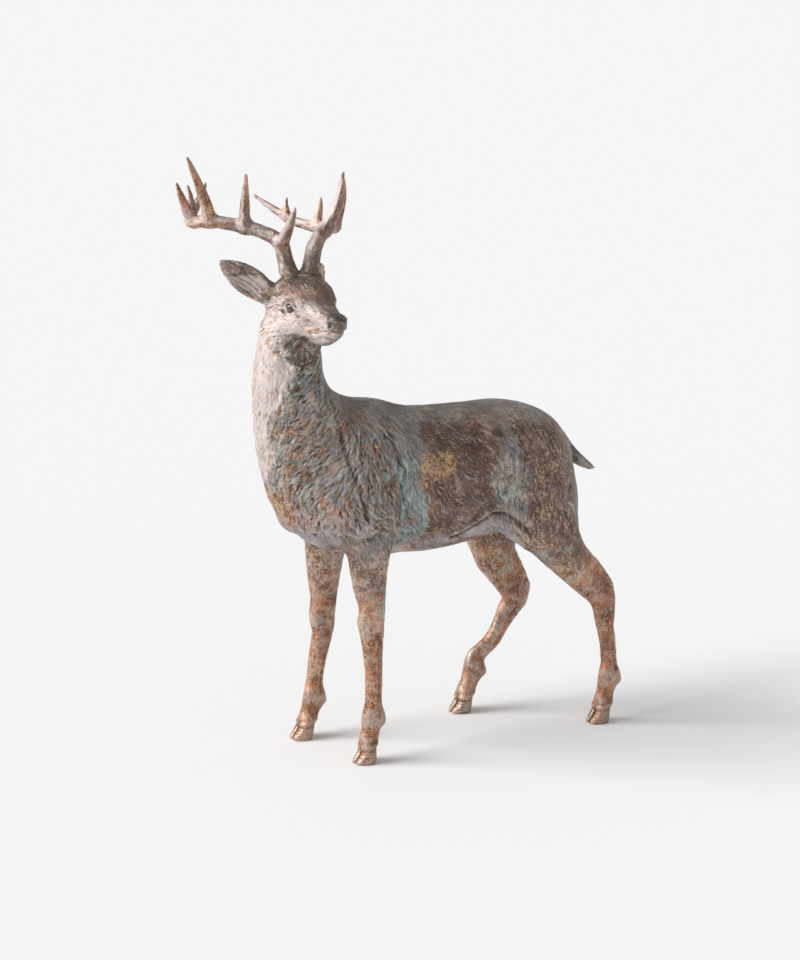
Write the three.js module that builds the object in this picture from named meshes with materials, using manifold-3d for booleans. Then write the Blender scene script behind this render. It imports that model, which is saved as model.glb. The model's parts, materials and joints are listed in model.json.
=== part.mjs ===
// A standing stag, cast as three pieces: the body with neck and legs, the head with both ears, and the
// antlers with the crown of the skull. Millimetres, +Z up. The body faces -X and its left side is -Y; the
// head is turned a quarter turn to its left, so that it faces -Y. The hooves stand on Z = 0.
import * as THREE from 'three';
import { mergeVertices } from 'three/addons/utils/BufferGeometryUtils.js';
import { ImprovedNoise } from 'three/addons/math/ImprovedNoise.js';
import Module from 'manifold-3d';

const wasm = await Module();
wasm.setup();

// ---------------------------------------------------------------- driving dimensions

const WITHERS = 365; // height of the back over the shoulders
const STANCE = 49; // from the middle plane to the middle of each hoof
const LOCK = { width: 12, pitch: 20, overlap: 1.5, relief: 3.2 }; // the locks of the coat
const SEAM_GAP = 0.4; // between two castings where they are joined
const CELL = { body: 3, head: 2, antlers: 1.9 }; // edge of the cells that the skin is drawn through
const FACES = { body: 6200, head: 1800, antlers: 2100 }; // triangles that are kept in each casting

// ---------------------------------------------------------------- the form: round cones that flow together

// A round cone from a to b with radius ra and rb. squeeze makes it narrower along a direction by a share.
function cone(a, b, ra, rb, squeeze) {
  const from = new THREE.Vector3(...a);
  const axis = new THREE.Vector3(...b).sub(from);
  const narrow = squeeze ? new THREE.Vector3(...squeeze.along).normalize() : new THREE.Vector3(0, 1, 0);
  const share = squeeze ? squeeze.share : 1;
  axis.addScaledVector(narrow, axis.dot(narrow) * (1 / share - 1));
  const length2 = axis.lengthSq();
  const step = ra - rb;
  return { from, axis, length2, ra, rb, step, flank: length2 - step * step, narrow, share };
}

// Distance from a point to a cone's skin, negative inside.
function coneDistance(c, x, y, z) {
  let px = x - c.from.x;
  let py = y - c.from.y;
  let pz = z - c.from.z;
  if (c.share !== 1) {
    const more = (px * c.narrow.x + py * c.narrow.y + pz * c.narrow.z) * (1 / c.share - 1);
    px += c.narrow.x * more;
    py += c.narrow.y * more;
    pz += c.narrow.z * more;
  }
  const n = c.axis;
  const along = px * n.x + py * n.y + pz * n.z;
  const beyond = along - c.length2;
  const ax = px * c.length2 - n.x * along;
  const ay = py * c.length2 - n.y * along;
  const az = pz * c.length2 - n.z * along;
  const x2 = ax * ax + ay * ay + az * az;
  const y2 = along * along * c.length2;
  const z2 = beyond * beyond * c.length2;
  const k = Math.sign(c.step) * c.step * c.step * x2;
  let d;
  if (Math.sign(beyond) * c.flank * z2 > k) d = Math.sqrt(x2 + z2) / c.length2 - c.rb;
  else if (Math.sign(along) * c.flank * y2 < k) d = Math.sqrt(x2 + y2) / c.length2 - c.ra;
  else d = (Math.sqrt((x2 * c.flank) / c.length2) + along * c.step) / c.length2 - c.ra;
  return d * Math.min(c.share, 1);
}

// A run of cones along a smooth curve through points [x, y, z, radius]. blend is how far the run flows into
// what was laid before it. A run that cuts is carved away instead.
function run(points, { blend = 8, squeeze = null, cuts = false } = {}) {
  const pieces = 5;
  const last = points.length - 1;
  const smooth = (i, t) =>
    [0, 1, 2, 3].map((n) => {
      const [p, q, r, s] = [i - 1, i, i + 1, i + 2].map((m) => points[Math.min(Math.max(m, 0), last)][n]);
      return 0.5 * (2 * q + (r - p) * t + (2 * p - 5 * q + 4 * r - s) * t * t + (3 * q - p - 3 * r + s) * t ** 3);
    });
  const at = [];
  for (let i = 0; i < last; i++) for (let n = 0; n < pieces; n++) at.push(smooth(i, n / pieces));
  at.push(points[last]);
  const cones = at.slice(1).map((p, i) => cone(at[i].slice(0, 3), p.slice(0, 3), at[i][3], p[3], squeeze));
  const ball = new THREE.Box3();
  at.forEach(([x, y, z, r]) => {
    ball.expandByPoint(new THREE.Vector3(x - r, y - r, z - r));
    ball.expandByPoint(new THREE.Vector3(x + r, y + r, z + r));
  });
  const centre = ball.getCenter(new THREE.Vector3());
  const reach = Math.max(...at.map(([x, y, z, r]) => centre.distanceTo(new THREE.Vector3(x, y, z)) + r));
  return { cones, centre, reach, blend, cuts, share: squeeze ? Math.min(squeeze.share, 1) : 1 };
}

// Distance from a point to a whole form: runs that flow into those before them, or are carved out.
function formDistance(form, x, y, z) {
  let d = 1e3;
  for (const r of form) {
    const c = r.centre;
    const near = (Math.hypot(x - c.x, y - c.y, z - c.z) - r.reach) * r.share;
    if (r.cuts ? -near < d - r.blend : near > d + r.blend) continue;
    let e = 1e3;
    for (const c of r.cones) e = Math.min(e, coneDistance(c, x, y, z));
    if (r.cuts) {
      const h = Math.max(r.blend - Math.abs(d + e), 0);
      d = Math.max(d, -e) + (h * h) / (4 * r.blend);
    } else {
      const h = Math.max(r.blend - Math.abs(d - e), 0);
      d = Math.min(d, e) - (h * h) / (4 * r.blend);
    }
  }
  return d;
}

const ACROSS = (share) => ({ along: [0, 1, 0], share });
const both = (make) => [-1, 1].flatMap(make);

// ---------------------------------------------------------------- fur

// Height of a coat of pointed locks. down runs along the locks and across runs over them, both in mm. Each
// row of locks starts under the tips of the row above it.
function lockHeight(down, across) {
  const row = Math.floor(down / LOCK.pitch);
  let height = 0;
  for (const r of [row, row - 1]) {
    const t = (down / LOCK.pitch - r) / LOCK.overlap;
    const sway = 0.22 * Math.sin(t * 4 + r * 2.3) + (r % 2) * 0.5;
    const w = across / LOCK.width - sway;
    const off = w - Math.round(w);
    const half = 0.6 * (1 - t * t);
    const lift = 0.75 + 0.25 * Math.sin(Math.round(w) * 2.7 + r * 4.1);
    if (t < 1 && Math.abs(off) < half) height = Math.max(height, t * lift * (1 - (off / half) ** 2));
  }
  return height * LOCK.relief;
}

// Rises smoothly from 0 at one value to 1 at another, which may be the smaller.
function ramp(v, from, to) {
  const t = THREE.MathUtils.clamp((v - from) / (to - from), 0, 1);
  return t * t * (3 - 2 * t);
}

// The coat over the neck, the chest and the shoulders. Locks run down and forward on the neck and straight
// down on the shoulders.
function coatHeight(x, y, z) {
  if (x > 95 || z < 225 || z > 460) return 0;
  const middle = THREE.MathUtils.mapLinear(z, 260, 420, 12, -40);
  const round = Math.abs(Math.atan2(y, middle - x)) * 48;
  const neck = ramp(z, 234, 250) * ramp(round, 118, 96);
  const shoulder = ramp(z, 236, 252) * ramp(z, 352, 330) * ramp(x, -12, 6) * ramp(x, 78, 62);
  const onNeck = lockHeight(900 - z * 0.92 - round * 0.39, 900 + round * 0.92 - z * 0.39);
  const onShoulder = lockHeight(-z + x * 0.16 + 900, x + z * 0.16 + 900);
  return Math.max(onNeck * neck * (1 - 0.6 * shoulder), onShoulder * shoulder * 0.8);
}

// ---------------------------------------------------------------- body

function trunk() {
  return [
    run(
      [
        [-22, 0, 316, 48],
        [8, 0, 298, 61],
        [45, 0, 284, 73],
        [105, 0, 275, 76],
        [160, 0, 277, 72],
        [198, 0, 283, 62],
        [224, 0, 285, 52],
      ],
      { squeeze: ACROSS(0.68) },
    ),
    run([[190, 0, 288, 55], [210, 0, 284, 53], [230, 0, 270, 47]], { blend: 14, squeeze: ACROSS(0.9) }),
    ...both((s) => run([[52, s * 57, 330, 7], [60, s * 59, 290, 8], [60, s * 57, 246, 7]], { blend: 12, cuts: true })),
    run([[-24, 0, 276, 30], [-4, 0, 256, 34], [40, 0, 246, 38]], { blend: 22, squeeze: ACROSS(0.85) }),
    run([[14, 0, 345, 18], [44, 0, 336, 24]], { blend: 18, squeeze: ACROSS(0.6) }),
  ];
}

function neck() {
  return [
    run(
      [
        [-10, 0, 318, 50],
        [-31, 0, 352, 43],
        [-40, 0, 384, 37],
        [-40, 0, 412, 33.5],
        [-38, 2, 440, 29],
        [-32, 6, 462, 24],
      ],
      { blend: 16, squeeze: ACROSS(0.88) },
    ),
  ];
}

// Front leg on one side, s = -1 left, +1 right. Joints are [x, z].
function frontLeg(s, { elbow, forearm, knee, cannon, fetlock, pastern, toe }) {
  const y = (share) => s * (39 + (STANCE - 39) * share);
  return [
    run([[34, s * 22, 336, 20], [10, s * 32, 290, 26], [2, s * 33, 262, 25]], { blend: 18, squeeze: ACROSS(0.8) }),
    run([[50, s * 28, 318, 20], [44, s * 36, 270, 22], [elbow[0] + 8, s * 38, elbow[1] + 26, 22]], { blend: 16, squeeze: ACROSS(0.8) }),
    run(
      [
        [elbow[0] + 2, s * 37, elbow[1] + 34, 27],
        [elbow[0], y(0.1), elbow[1], 23.5],
        [forearm[0], y(0.4), forearm[1], 18],
        [knee[0] + 1, y(0.65), knee[1] + 20, 14.4],
        [knee[0] - 1, y(0.7), knee[1] + 2, 14.2],
        [knee[0], y(0.75), knee[1] - 12, 12.4],
        [cannon[0], y(0.9), cannon[1], 10],
        [fetlock[0], y(1), fetlock[1] + 12, 10],
        [fetlock[0], y(1), fetlock[1] - 2, 11.2],
      ],
      { blend: 12, squeeze: ACROSS(0.84) },
    ),
    ...foot(s, fetlock, pastern, toe),
  ];
}

// Pastern, two hooves and the two dew claws behind the fetlock.
function foot(s, fetlock, pastern, toe) {
  const side = s * STANCE;
  return [
    run([[fetlock[0], side, fetlock[1], 10.4], [pastern[0] + 1, side, pastern[1] + 1, 9.6]], { blend: 5 }),
    ...both((t) => [
      run([[pastern[0], side + t * 3.5, pastern[1], 8.4], [toe[0] + 13, side + t * 5, 8, 8], [toe[0] + 7, side + t * 4.8, 3, 6.6], [toe[0] + 2, side + t * 4, 1.5, 4.2]], { blend: 3 }),
      run([[toe[0] + 17, side + t * 4.6, 6, 6.2], [toe[0] + 14, side + t * 4.6, 2, 6.2]], { blend: 3 }),
      run([[fetlock[0] + 7, side + t * 4, fetlock[1] + 1, 4], [fetlock[0] + 11, side + t * 5, fetlock[1] - 7, 2.6]], { blend: 3 }),
    ]),
  ];
}

// Hind leg on one side.
function hindLeg(s, { hip, stifle, gaskin, hock, point, cannon, fetlock, pastern, toe }) {
  const y = (share) => s * (38 + (STANCE - 38) * share);
  return [
    run([[hip[0], s * 22, hip[1], 38], [stifle[0] + 6, s * 34, stifle[1] + 26, 36], [stifle[0], s * 37, stifle[1], 28]], { blend: 22, squeeze: ACROSS(0.78) }),
    run([[hip[0] + 10, s * 20, hip[1] - 12, 28], [stifle[0] + 28, s * 30, stifle[1] + 16, 24], [gaskin[0] + 2, s * 35, gaskin[1] + 24, 18]], { blend: 18, squeeze: ACROSS(0.85) }),
    run(
      [
        [stifle[0] + 2, s * 36, stifle[1] + 2, 28],
        [gaskin[0] - 2, y(0.1), gaskin[1] + 6, 21],
        [(gaskin[0] + hock[0]) / 2, y(0.2), (gaskin[1] + hock[1]) / 2, 15],
        [hock[0], y(0.35), hock[1], 13],
        [hock[0] * 0.65 + cannon[0] * 0.35, y(0.5), hock[1] * 0.65 + cannon[1] * 0.35, 11],
        [cannon[0], y(0.75), cannon[1], 9.8],
        [fetlock[0], y(1), fetlock[1] + 12, 9.8],
        [fetlock[0], y(1), fetlock[1] - 2, 11],
      ],
      { blend: 10, squeeze: ACROSS(0.8) },
    ),
    // the tendon down to the point of the hock
    run([[gaskin[0] + 14, y(0.1), gaskin[1] + 14, 8], [point[0] - 5, y(0.3), point[1], 6.2], [hock[0] * 0.6 + cannon[0] * 0.4 + 5, y(0.5), hock[1] * 0.6 + cannon[1] * 0.4, 6.5]], { blend: 8, squeeze: ACROSS(0.75) }),
    ...foot(s, fetlock, pastern, toe),
  ];
}

function tail() {
  return [run([[262, 0, 296, 13], [286, 0, 280, 8], [304, 0, 267, 5], [316, 0, 262, 2]], { blend: 8, squeeze: ACROSS(1.3) })];
}

const LEGS = {
  frontLeft: { elbow: [27, 222], forearm: [26, 184], knee: [27, 143], cannon: [28, 94], fetlock: [27, 48], pastern: [21, 23], toe: [6, 0] },
  frontRight: { elbow: [19, 216], forearm: [18, 172], knee: [18, 128], cannon: [12, 80], fetlock: [9, 44], pastern: [1, 21], toe: [-17, 0] },
  hindLeft: { hip: [216, 285], stifle: [218, 226], gaskin: [254, 180], hock: [298, 134], point: [311, 150], cannon: [305, 86], fetlock: [306, 50], pastern: [299, 23], toe: [282, 0] },
  hindRight: { hip: [212, 285], stifle: [204, 214], gaskin: [216, 166], hock: [243, 122], point: [261, 131], cannon: [219, 75], fetlock: [199, 46], pastern: [188, 22], toe: [171, 0] },
};

function bodyForm() {
  return [
    ...trunk(),
    ...neck(),
    ...frontLeg(-1, LEGS.frontLeft),
    ...frontLeg(1, LEGS.frontRight),
    ...hindLeg(-1, LEGS.hindLeft),
    ...hindLeg(1, LEGS.hindRight),
    ...tail(),
  ];
}

// ---------------------------------------------------------------- head, facing -Y

const MID = -26; // X of the head's middle plane

function headForm() {
  return [
    run([[MID, 8, 471, 26], [MID, -16, 470, 24.5]], { blend: 10 }),
    run([[MID, -12, 472, 21], [MID, -38, 467, 16.5], [MID, -58, 462, 12.5], [MID, -74, 459, 10.4]], { blend: 8 }),
    run([[MID, 4, 457, 24], [MID, -26, 451, 18], [MID, -52, 446, 12], [MID, -70, 449, 8]], { blend: 8 }),
    run([[MID - 3, -79, 461, 8.2], [MID + 3, -79, 461, 8.2]], { blend: 4 }),
    ...both((t) => [
      run([[MID + t * 14, 2, 456, 15], [MID + t * 14, -24, 451, 12]], { blend: 8 }),
      run([[MID + t * 14, -2, 486, 7], [MID + t * 17, -18, 481, 6], [MID + t * 15, -34, 474, 5]], { blend: 7 }),
      run([[MID + t * 26, -23, 468, 5], [MID + t * 27, -17, 468, 5]], { blend: 4, cuts: true }),
      run([[MID + t * 20, -20, 468, 5.8], [MID + t * 20, -18, 468, 5.8]], { blend: 1 }),
      run([[MID + t * 8, -86, 458, 2.4], [MID + t * 9.5, -81, 461, 2.4]], { blend: 2, cuts: true }),
    ]),
    ...ear([-50, 8, 472], [-52, 18, 39], [-6, -16, 3], 1.18),
    ...ear([-2, 10, 482], [25, 40, 11], [14, -8, 4], 0.9),
  ];
}

// An ear is a flattened leaf with a hollow carved in its front.
function ear(root, reach, face, width) {
  const front = new THREE.Vector3(...face).normalize().toArray();
  const at = (share, radius, out = 0) => [...root.map((r, i) => r + reach[i] * share + front[i] * out), radius * width];
  return [
    run([at(0, 8), at(0.3, 11.4), at(0.55, 12), at(0.8, 7.6), at(1, 1.4)], { blend: 6, squeeze: { along: front, share: 0.5 } }),
    run([at(0.3, 6, 4.5), at(0.52, 8.4, 4.5), at(0.8, 3.6, 3.5)], { blend: 3, squeeze: { along: front, share: 0.6 }, cuts: true }),
  ];
}

// ---------------------------------------------------------------- antlers

// Each beam and tine runs through points [x, y, z, radius].
const RIGHT_ANTLER = [
  [[-36, 4, 492, 10], [-39, 9, 510, 7.8], [-42, 13, 526, 7.4], [-53, 22, 535, 6.8], [-69, 34, 541, 6.4], [-96, 52, 546, 6.4], [-110, 70, 544, 6.4], [-102, 92, 547, 5.4], [-84, 118, 552, 4.4], [-61, 145, 570, 1.8]],
  [[-42, 10, 526, 6.6], [-43, -8, 544, 5], [-44, -25, 566, 2]],
  [[-70, 34, 540, 7], [-71, 32, 562, 5], [-72, 26, 594, 2]],
  [[-98, 54, 546, 7], [-107, 50, 572, 5.4], [-127, 42, 612, 2]],
  [[-110, 70, 545, 6], [-119, 68, 562, 4.6], [-130, 62, 585, 1.8]],
  [[-97, 100, 549, 5], [-97, 105, 562, 4], [-98, 108, 575, 1.8]],
];
const LEFT_ANTLER = [
  [[-15, 4, 492, 10], [-10, 8, 508, 8.4], [-4, 14, 520, 7.8], [15, 34, 530, 7.4], [34, 54, 531, 7.2], [45, 68, 528, 6.4], [40, 94, 524, 5.6], [22, 126, 530, 4.6], [-3, 158, 552, 1.7]],
  [[18, 37, 530, 7.4], [30, 34, 552, 5.6], [36, 30, 580, 2]],
  [[40, 60, 531, 7], [45, 54, 556, 5.4], [43, 44, 586, 2]],
  [[39, 96, 524, 5.6], [42, 97, 540, 4.4], [45, 98, 553, 1.8]],
  [[21, 127, 530, 4.6], [20, 128, 541, 3.4], [21, 128, 551, 1.8]],
];

function antlerForm() {
  return [...RIGHT_ANTLER, ...LEFT_ANTLER].map((points) => run(points, { blend: 4 }));
}

// ---------------------------------------------------------------- skin: a net of quads over a form

// The skin of a form, closed off where it meets the walls of its box. Each cell that the skin crosses has one
// vertex, and each edge that it crosses has a quad between the four cells around it. Blocks of cells far from
// the skin are passed over.
function skin(distance, box, cell) {
  const BLOCK = 6;
  const size = box.getSize(new THREE.Vector3());
  const [nx, ny, nz] = ['x', 'y', 'z'].map((k) => Math.ceil(size[k] / cell / BLOCK) * BLOCK);
  const strides = [1, nx + 1, (nx + 1) * (ny + 1)];
  const field = new Float32Array(strides[2] * (nz + 1)).fill(NaN);
  const at = (i, j, k) => {
    const n = i + j * strides[1] + k * strides[2];
    if (Number.isNaN(field[n])) {
      const wall = cell * (1.5 - Math.min(i, j, k, nx - i, ny - j, nz - k));
      field[n] = Math.max(wall, distance(box.min.x + i * cell, box.min.y + j * cell, box.min.z + k * cell));
    }
    return field[n];
  };
  const reach = BLOCK * cell * 0.5 * Math.sqrt(3) * 1.35 + 3;
  const corners = [0, 1, 2, 3, 4, 5, 6, 7].map((n) => [n & 1, (n >> 1) & 1, n >> 2]);
  const edges = corners.flatMap((_, n) => [1, 2, 4].filter((bit) => !(n & bit)).map((bit) => [n, n | bit]));
  const position = [];
  const index = [];
  const made = new Map();
  const quads = [];
  const visit = (i, j, k) => {
    const values = corners.map(([x, y, z]) => at(i + x, j + y, k + z));
    const sum = [0, 0, 0];
    let crossings = 0;
    for (const [a, b] of edges) {
      if (values[a] < 0 === values[b] < 0) continue;
      const t = values[a] / (values[a] - values[b]);
      corners[a].forEach((v, n) => (sum[n] += v + t * (corners[b][n] - v)));
      crossings += 1;
    }
    if (!crossings) return;
    made.set(i + j * strides[1] + k * strides[2], position.length / 3);
    [i, j, k].forEach((v, n) => position.push(box.min.getComponent(n) + (v + sum[n] / crossings) * cell));
    [1, 2, 4].forEach((bit, axis) => {
      if (values[0] < 0 !== values[bit] < 0) quads.push([i + j * strides[1] + k * strides[2], axis, values[0] < 0]);
    });
  };
  const cells = [];
  for (let bk = 0; bk < nz; bk += BLOCK) {
    for (let bj = 0; bj < ny; bj += BLOCK) {
      for (let bi = 0; bi < nx; bi += BLOCK) {
        if (Math.abs(at(bi + BLOCK / 2, bj + BLOCK / 2, bk + BLOCK / 2)) > reach) continue;
        for (let n = 0; n < BLOCK ** 3; n++) {
          cells.push([bi + (n % BLOCK), bj + (Math.floor(n / BLOCK) % BLOCK), bk + Math.floor(n / BLOCK / BLOCK)]);
        }
      }
    }
  }
  // Where inside and outside meet only across a diagonal, the skin would touch itself, so the corner nearest
  // to the skin changes sides.
  const touches = (i, j, k) => {
    const values = corners.map(([x, y, z]) => at(i + x, j + y, k + z));
    const inside = values.map((v) => v < 0);
    const faces = [[0, 1, 3, 2], [0, 1, 5, 4], [0, 2, 6, 4]];
    let crossed = faces.find(([a, b, c, d]) => inside[a] === inside[c] && inside[b] === inside[d] && inside[a] !== inside[b]);
    for (let n = 0; n < 4 && !crossed; n++) {
      const rest = inside.filter((_, m) => m !== n && m !== 7 - n);
      if (inside[n] === inside[7 - n] && rest.every((v) => v !== inside[n])) crossed = [n, 7 - n];
    }
    if (!crossed) return false;
    const n = crossed.reduce((best, m) => (Math.abs(values[m]) < Math.abs(values[best]) ? m : best));
    const [x, y, z] = corners[n];
    field[i + x + (j + y) * strides[1] + (k + z) * strides[2]] = inside[n] ? 1e-3 : -1e-3;
    return true;
  };
  while (cells.filter((c) => touches(...c)).length);
  cells.forEach((c) => visit(...c));
  for (const [cellHere, axis, inside] of quads) {
    const [u, v] = [strides[(axis + 1) % 3], strides[(axis + 2) % 3]];
    const ring = [cellHere, cellHere - u, cellHere - u - v, cellHere - v].map((n) => made.get(n));
    const [a, b, c, d] = inside ? ring : ring.reverse();
    index.push(a, b, c, a, c, d);
  }
  return { position, index };
}

// ---------------------------------------------------------------- fewer faces: collapse the cheapest edges

// A heap of [cost, edge] pairs, cheapest first.
class Heap {
  constructor() {
    this.items = [];
  }

  push(item) {
    const a = this.items;
    let n = a.push(item) - 1;
    while (n > 0) {
      const up = (n - 1) >> 1;
      if (a[up].cost <= item.cost) break;
      a[n] = a[up];
      n = up;
    }
    a[n] = item;
  }

  pop() {
    const a = this.items;
    const top = a[0];
    const item = a.pop();
    let n = 0;
    while (a.length && 2 * n + 1 < a.length) {
      let down = 2 * n + 1;
      if (down + 1 < a.length && a[down + 1].cost < a[down].cost) down += 1;
      if (a[down].cost >= item.cost) break;
      a[n] = a[down];
      n = down;
    }
    if (a.length) a[n] = item;
    return top;
  }
}

// Collapses edges of a closed skin until it has no more than the wanted number of triangles. Each vertex
// carries the sum of squared distances to the planes around it, and worth makes some places dearer.
function thin({ position, index }, wanted, worth = () => 1) {
  const count = position.length / 3;
  const at = Array.from({ length: count }, (_, i) => position.slice(3 * i, 3 * i + 3));
  const faces = [];
  const around = Array.from({ length: count }, () => new Set());
  const planes = Array.from({ length: count }, () => new Float64Array(10));
  const version = new Uint32Array(count);
  const sub = (p, q) => [p[0] - q[0], p[1] - q[1], p[2] - q[2]];
  const cross = (p, q) => [p[1] * q[2] - p[2] * q[1], p[2] * q[0] - p[0] * q[2], p[0] * q[1] - p[1] * q[0]];
  const dot = (p, q) => p[0] * q[0] + p[1] * q[1] + p[2] * q[2];
  for (let i = 0; i < index.length; i += 3) {
    const f = [index[i], index[i + 1], index[i + 2]];
    const n = cross(sub(at[f[1]], at[f[0]]), sub(at[f[2]], at[f[0]]));
    const area = Math.hypot(...n);
    faces.push(f);
    f.forEach((v) => around[v].add(faces.length - 1));
    if (area < 1e-9) continue;
    const [a, b, c] = n.map((v) => v / area);
    const d = -dot([a, b, c], at[f[0]]);
    const w = area * worth(...at[f[0]]);
    const q = [a * a, a * b, a * c, a * d, b * b, b * c, b * d, c * c, c * d, d * d];
    f.forEach((v) => q.forEach((value, k) => (planes[v][k] += w * value)));
  }
  const error = (q, [x, y, z]) =>
    q[0] * x * x + 2 * q[1] * x * y + 2 * q[2] * x * z + 2 * q[3] * x + q[4] * y * y + 2 * q[5] * y * z + 2 * q[6] * y + q[7] * z * z + 2 * q[8] * z + q[9];
  // the cheapest place for the vertex that an edge becomes
  const place = (u, v) => {
    const q = planes[u].map((value, k) => value + planes[v][k]);
    const tries = [at[u], at[v], at[u].map((value, k) => (value + at[v][k]) / 2)];
    const c = [q[4] * q[7] - q[5] * q[5], q[2] * q[5] - q[1] * q[7], q[1] * q[5] - q[2] * q[4]];
    const det = q[0] * c[0] + q[1] * c[1] + q[2] * c[2];
    const scale = q[0] + q[4] + q[7];
    if (det > 1e-4 * scale ** 3) {
      const r = [-q[3], -q[6], -q[8]];
      const e = [q[0] * q[7] - q[2] * q[2], q[1] * q[2] - q[0] * q[5], q[0] * q[4] - q[1] * q[1]];
      const best = [dot([c[0], c[1], c[2]], r), c[1] * r[0] + e[0] * r[1] + e[1] * r[2], c[2] * r[0] + e[1] * r[1] + e[2] * r[2]];
      const p = best.map((value) => value / det);
      if (Math.hypot(...sub(p, tries[2])) < 2 * Math.hypot(...sub(at[u], at[v]))) tries.push(p);
    }
    const length2 = dot(sub(at[u], at[v]), sub(at[u], at[v]));
    const costs = tries.map((p) => error(q, p));
    const n = costs.indexOf(Math.min(...costs));
    return { cost: costs[n] + 1e-4 * length2, p: tries[n] };
  };
  const heap = new Heap();
  const offer = (u, v) => heap.push({ ...place(u, v), u, v, stamp: version[u] + version[v] });
  const neighbours = (v) => {
    const near = new Set();
    around[v].forEach((f) => faces[f].forEach((n) => n !== v && near.add(n)));
    return near;
  };
  // true if moving v to p turns a face over, or makes a sliver of a face that wasn't one
  const spoils = (v, other, p) => {
    for (const f of around[v]) {
      if (faces[f].includes(other)) continue;
      const [a, b, c] = faces[f].map((n) => at[n]);
      const [d, e, g] = faces[f].map((n) => (n === v ? p : at[n]));
      const before = cross(sub(b, a), sub(c, a));
      const after = cross(sub(e, d), sub(g, d));
      if (dot(before, after) < 0.3 * Math.hypot(...before) * Math.hypot(...after)) return true;
      const shape = slimness(d, e, g);
      if (shape < 0.2 && shape < slimness(a, b, c)) return true;
    }
    return false;
  };
  const slimness = (a, b, c) => {
    const sides = [sub(b, a), sub(c, b), sub(a, c)];
    return Math.hypot(...cross(sides[0], sides[1])) / Math.max(...sides.map((e) => dot(e, e)), 1e-9);
  };
  for (let v = 0; v < count; v++) neighbours(v).forEach((n) => n > v && offer(v, n));
  const parked = Array.from({ length: count }, () => []);
  let left = faces.length;
  while (left > wanted && heap.items.length) {
    const { u, v, p, stamp } = heap.pop();
    if (!around[u].size || !around[v].size || stamp !== version[u] + version[v]) continue;
    const nu = neighbours(u);
    const nv = neighbours(v);
    if (!nu.has(v)) continue;
    if ([...nu].filter((n) => nv.has(n)).length !== 2 || spoils(u, v, p) || spoils(v, u, p)) {
      parked[u].push(v);
      parked[v].push(u);
      continue;
    }
    at[u] = p;
    planes[v].forEach((value, k) => (planes[u][k] += value));
    for (const f of [...around[v]]) {
      if (faces[f].includes(u)) {
        faces[f].forEach((n) => around[n].delete(f));
        faces[f] = null;
        left -= 1;
      } else {
        faces[f][faces[f].indexOf(v)] = u;
        around[u].add(f);
      }
    }
    around[v].clear();
    version[u] += version[v] + 1;
    neighbours(u).forEach((n) => {
      offer(u, n);
      const near = neighbours(n);
      parked[n].splice(0).forEach((m) => m !== u && near.has(m) && offer(n, m));
    });
  }
  const kept = new Map();
  const out = { position: [], index: [] };
  faces.filter(Boolean).forEach((f) =>
    f.forEach((v) => {
      if (!kept.has(v)) {
        kept.set(v, out.position.length / 3);
        out.position.push(...at[v]);
      }
      out.index.push(kept.get(v));
    }),
  );
  return out;
}

// ---------------------------------------------------------------- exact cuts

function toSolid({ position, index }) {
  const mesh = new wasm.Mesh({ numProp: 3, vertProperties: new Float32Array(position), triVerts: new Uint32Array(index) });
  mesh.merge();
  return new wasm.Manifold(mesh);
}

// A box as a solid, turned about X by tilt, with its middle at centre.
function block(width, depth, height, centre, tilt = 0) {
  const box = mergeVertices(new THREE.BoxGeometry(width, depth, height).deleteAttribute('uv').deleteAttribute('normal'));
  box.rotateX(tilt);
  box.translate(...centre);
  return toSolid({ position: [...box.attributes.position.array], index: [...box.index.array] });
}

const BIG = 1200;

// Everything on the upper or the lower side of a plane through a point, tilted about X.
function halfSpace(side, point, tilt = 0) {
  const up = new THREE.Vector3(0, -Math.sin(tilt), Math.cos(tilt)).multiplyScalar((side * BIG) / 2);
  return block(BIG, BIG, BIG, new THREE.Vector3(...point).add(up).toArray(), tilt);
}

function toMesh(solid, name, material) {
  const { vertProperties, triVerts } = solid.getMesh();
  const geometry = new THREE.BufferGeometry();
  geometry.setAttribute('position', new THREE.Float32BufferAttribute(vertProperties, 3));
  geometry.setIndex([...triVerts]);
  geometry.computeVertexNormals();
  const mesh = new THREE.Mesh(geometry, material);
  mesh.name = name;
  return mesh;
}

// ---------------------------------------------------------------- the three castings

const bronze = new THREE.MeshStandardMaterial({ name: 'patinated_bronze', color: 0x7a6455, metalness: 1, roughness: 0.5 });

const roughness = new ImprovedNoise();

function bodySkin() {
  const form = bodyForm();
  const box = new THREE.Box3(new THREE.Vector3(-115, -85, -6), new THREE.Vector3(325, 85, 480));
  const distance = (x, y, z) => {
    const d = formDistance(form, x, y, z);
    return Math.abs(d) < 6 ? d - coatHeight(x, y, z) : d;
  };
  const worth = (x, y, z) => (z < 30 ? 3 : x < 78 && z > 232 ? 5 : 1);
  return thin(skin(distance, box, CELL.body), FACES.body, worth);
}

function headSkin() {
  const form = [...neck(), ...headForm()];
  const box = new THREE.Box3(new THREE.Vector3(-115, -100, 380), new THREE.Vector3(45, 70, 520));
  return thin(skin((x, y, z) => formDistance(form, x, y, z), box, CELL.head), FACES.head);
}

function antlerSkin() {
  const form = [...headForm().slice(0, 2), ...antlerForm()];
  const box = new THREE.Box3(new THREE.Vector3(-145, -105, 480), new THREE.Vector3(60, 172, 622));
  const distance = (x, y, z) => {
    const d = formDistance(form, x, y, z);
    return Math.abs(d) < 4 ? d - 0.5 * roughness.noise(x / 9, y / 9, z / 9) : d;
  };
  return thin(skin(distance, box, CELL.antlers), FACES.antlers);
}

const SEAM = { neck: [0, 0, 438], neckTilt: Math.atan(0.8), crown: 496 };
const [half, more] = [SEAM_GAP / 2, SEAM_GAP / 2 / Math.cos(SEAM.neckTilt)];

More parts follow.
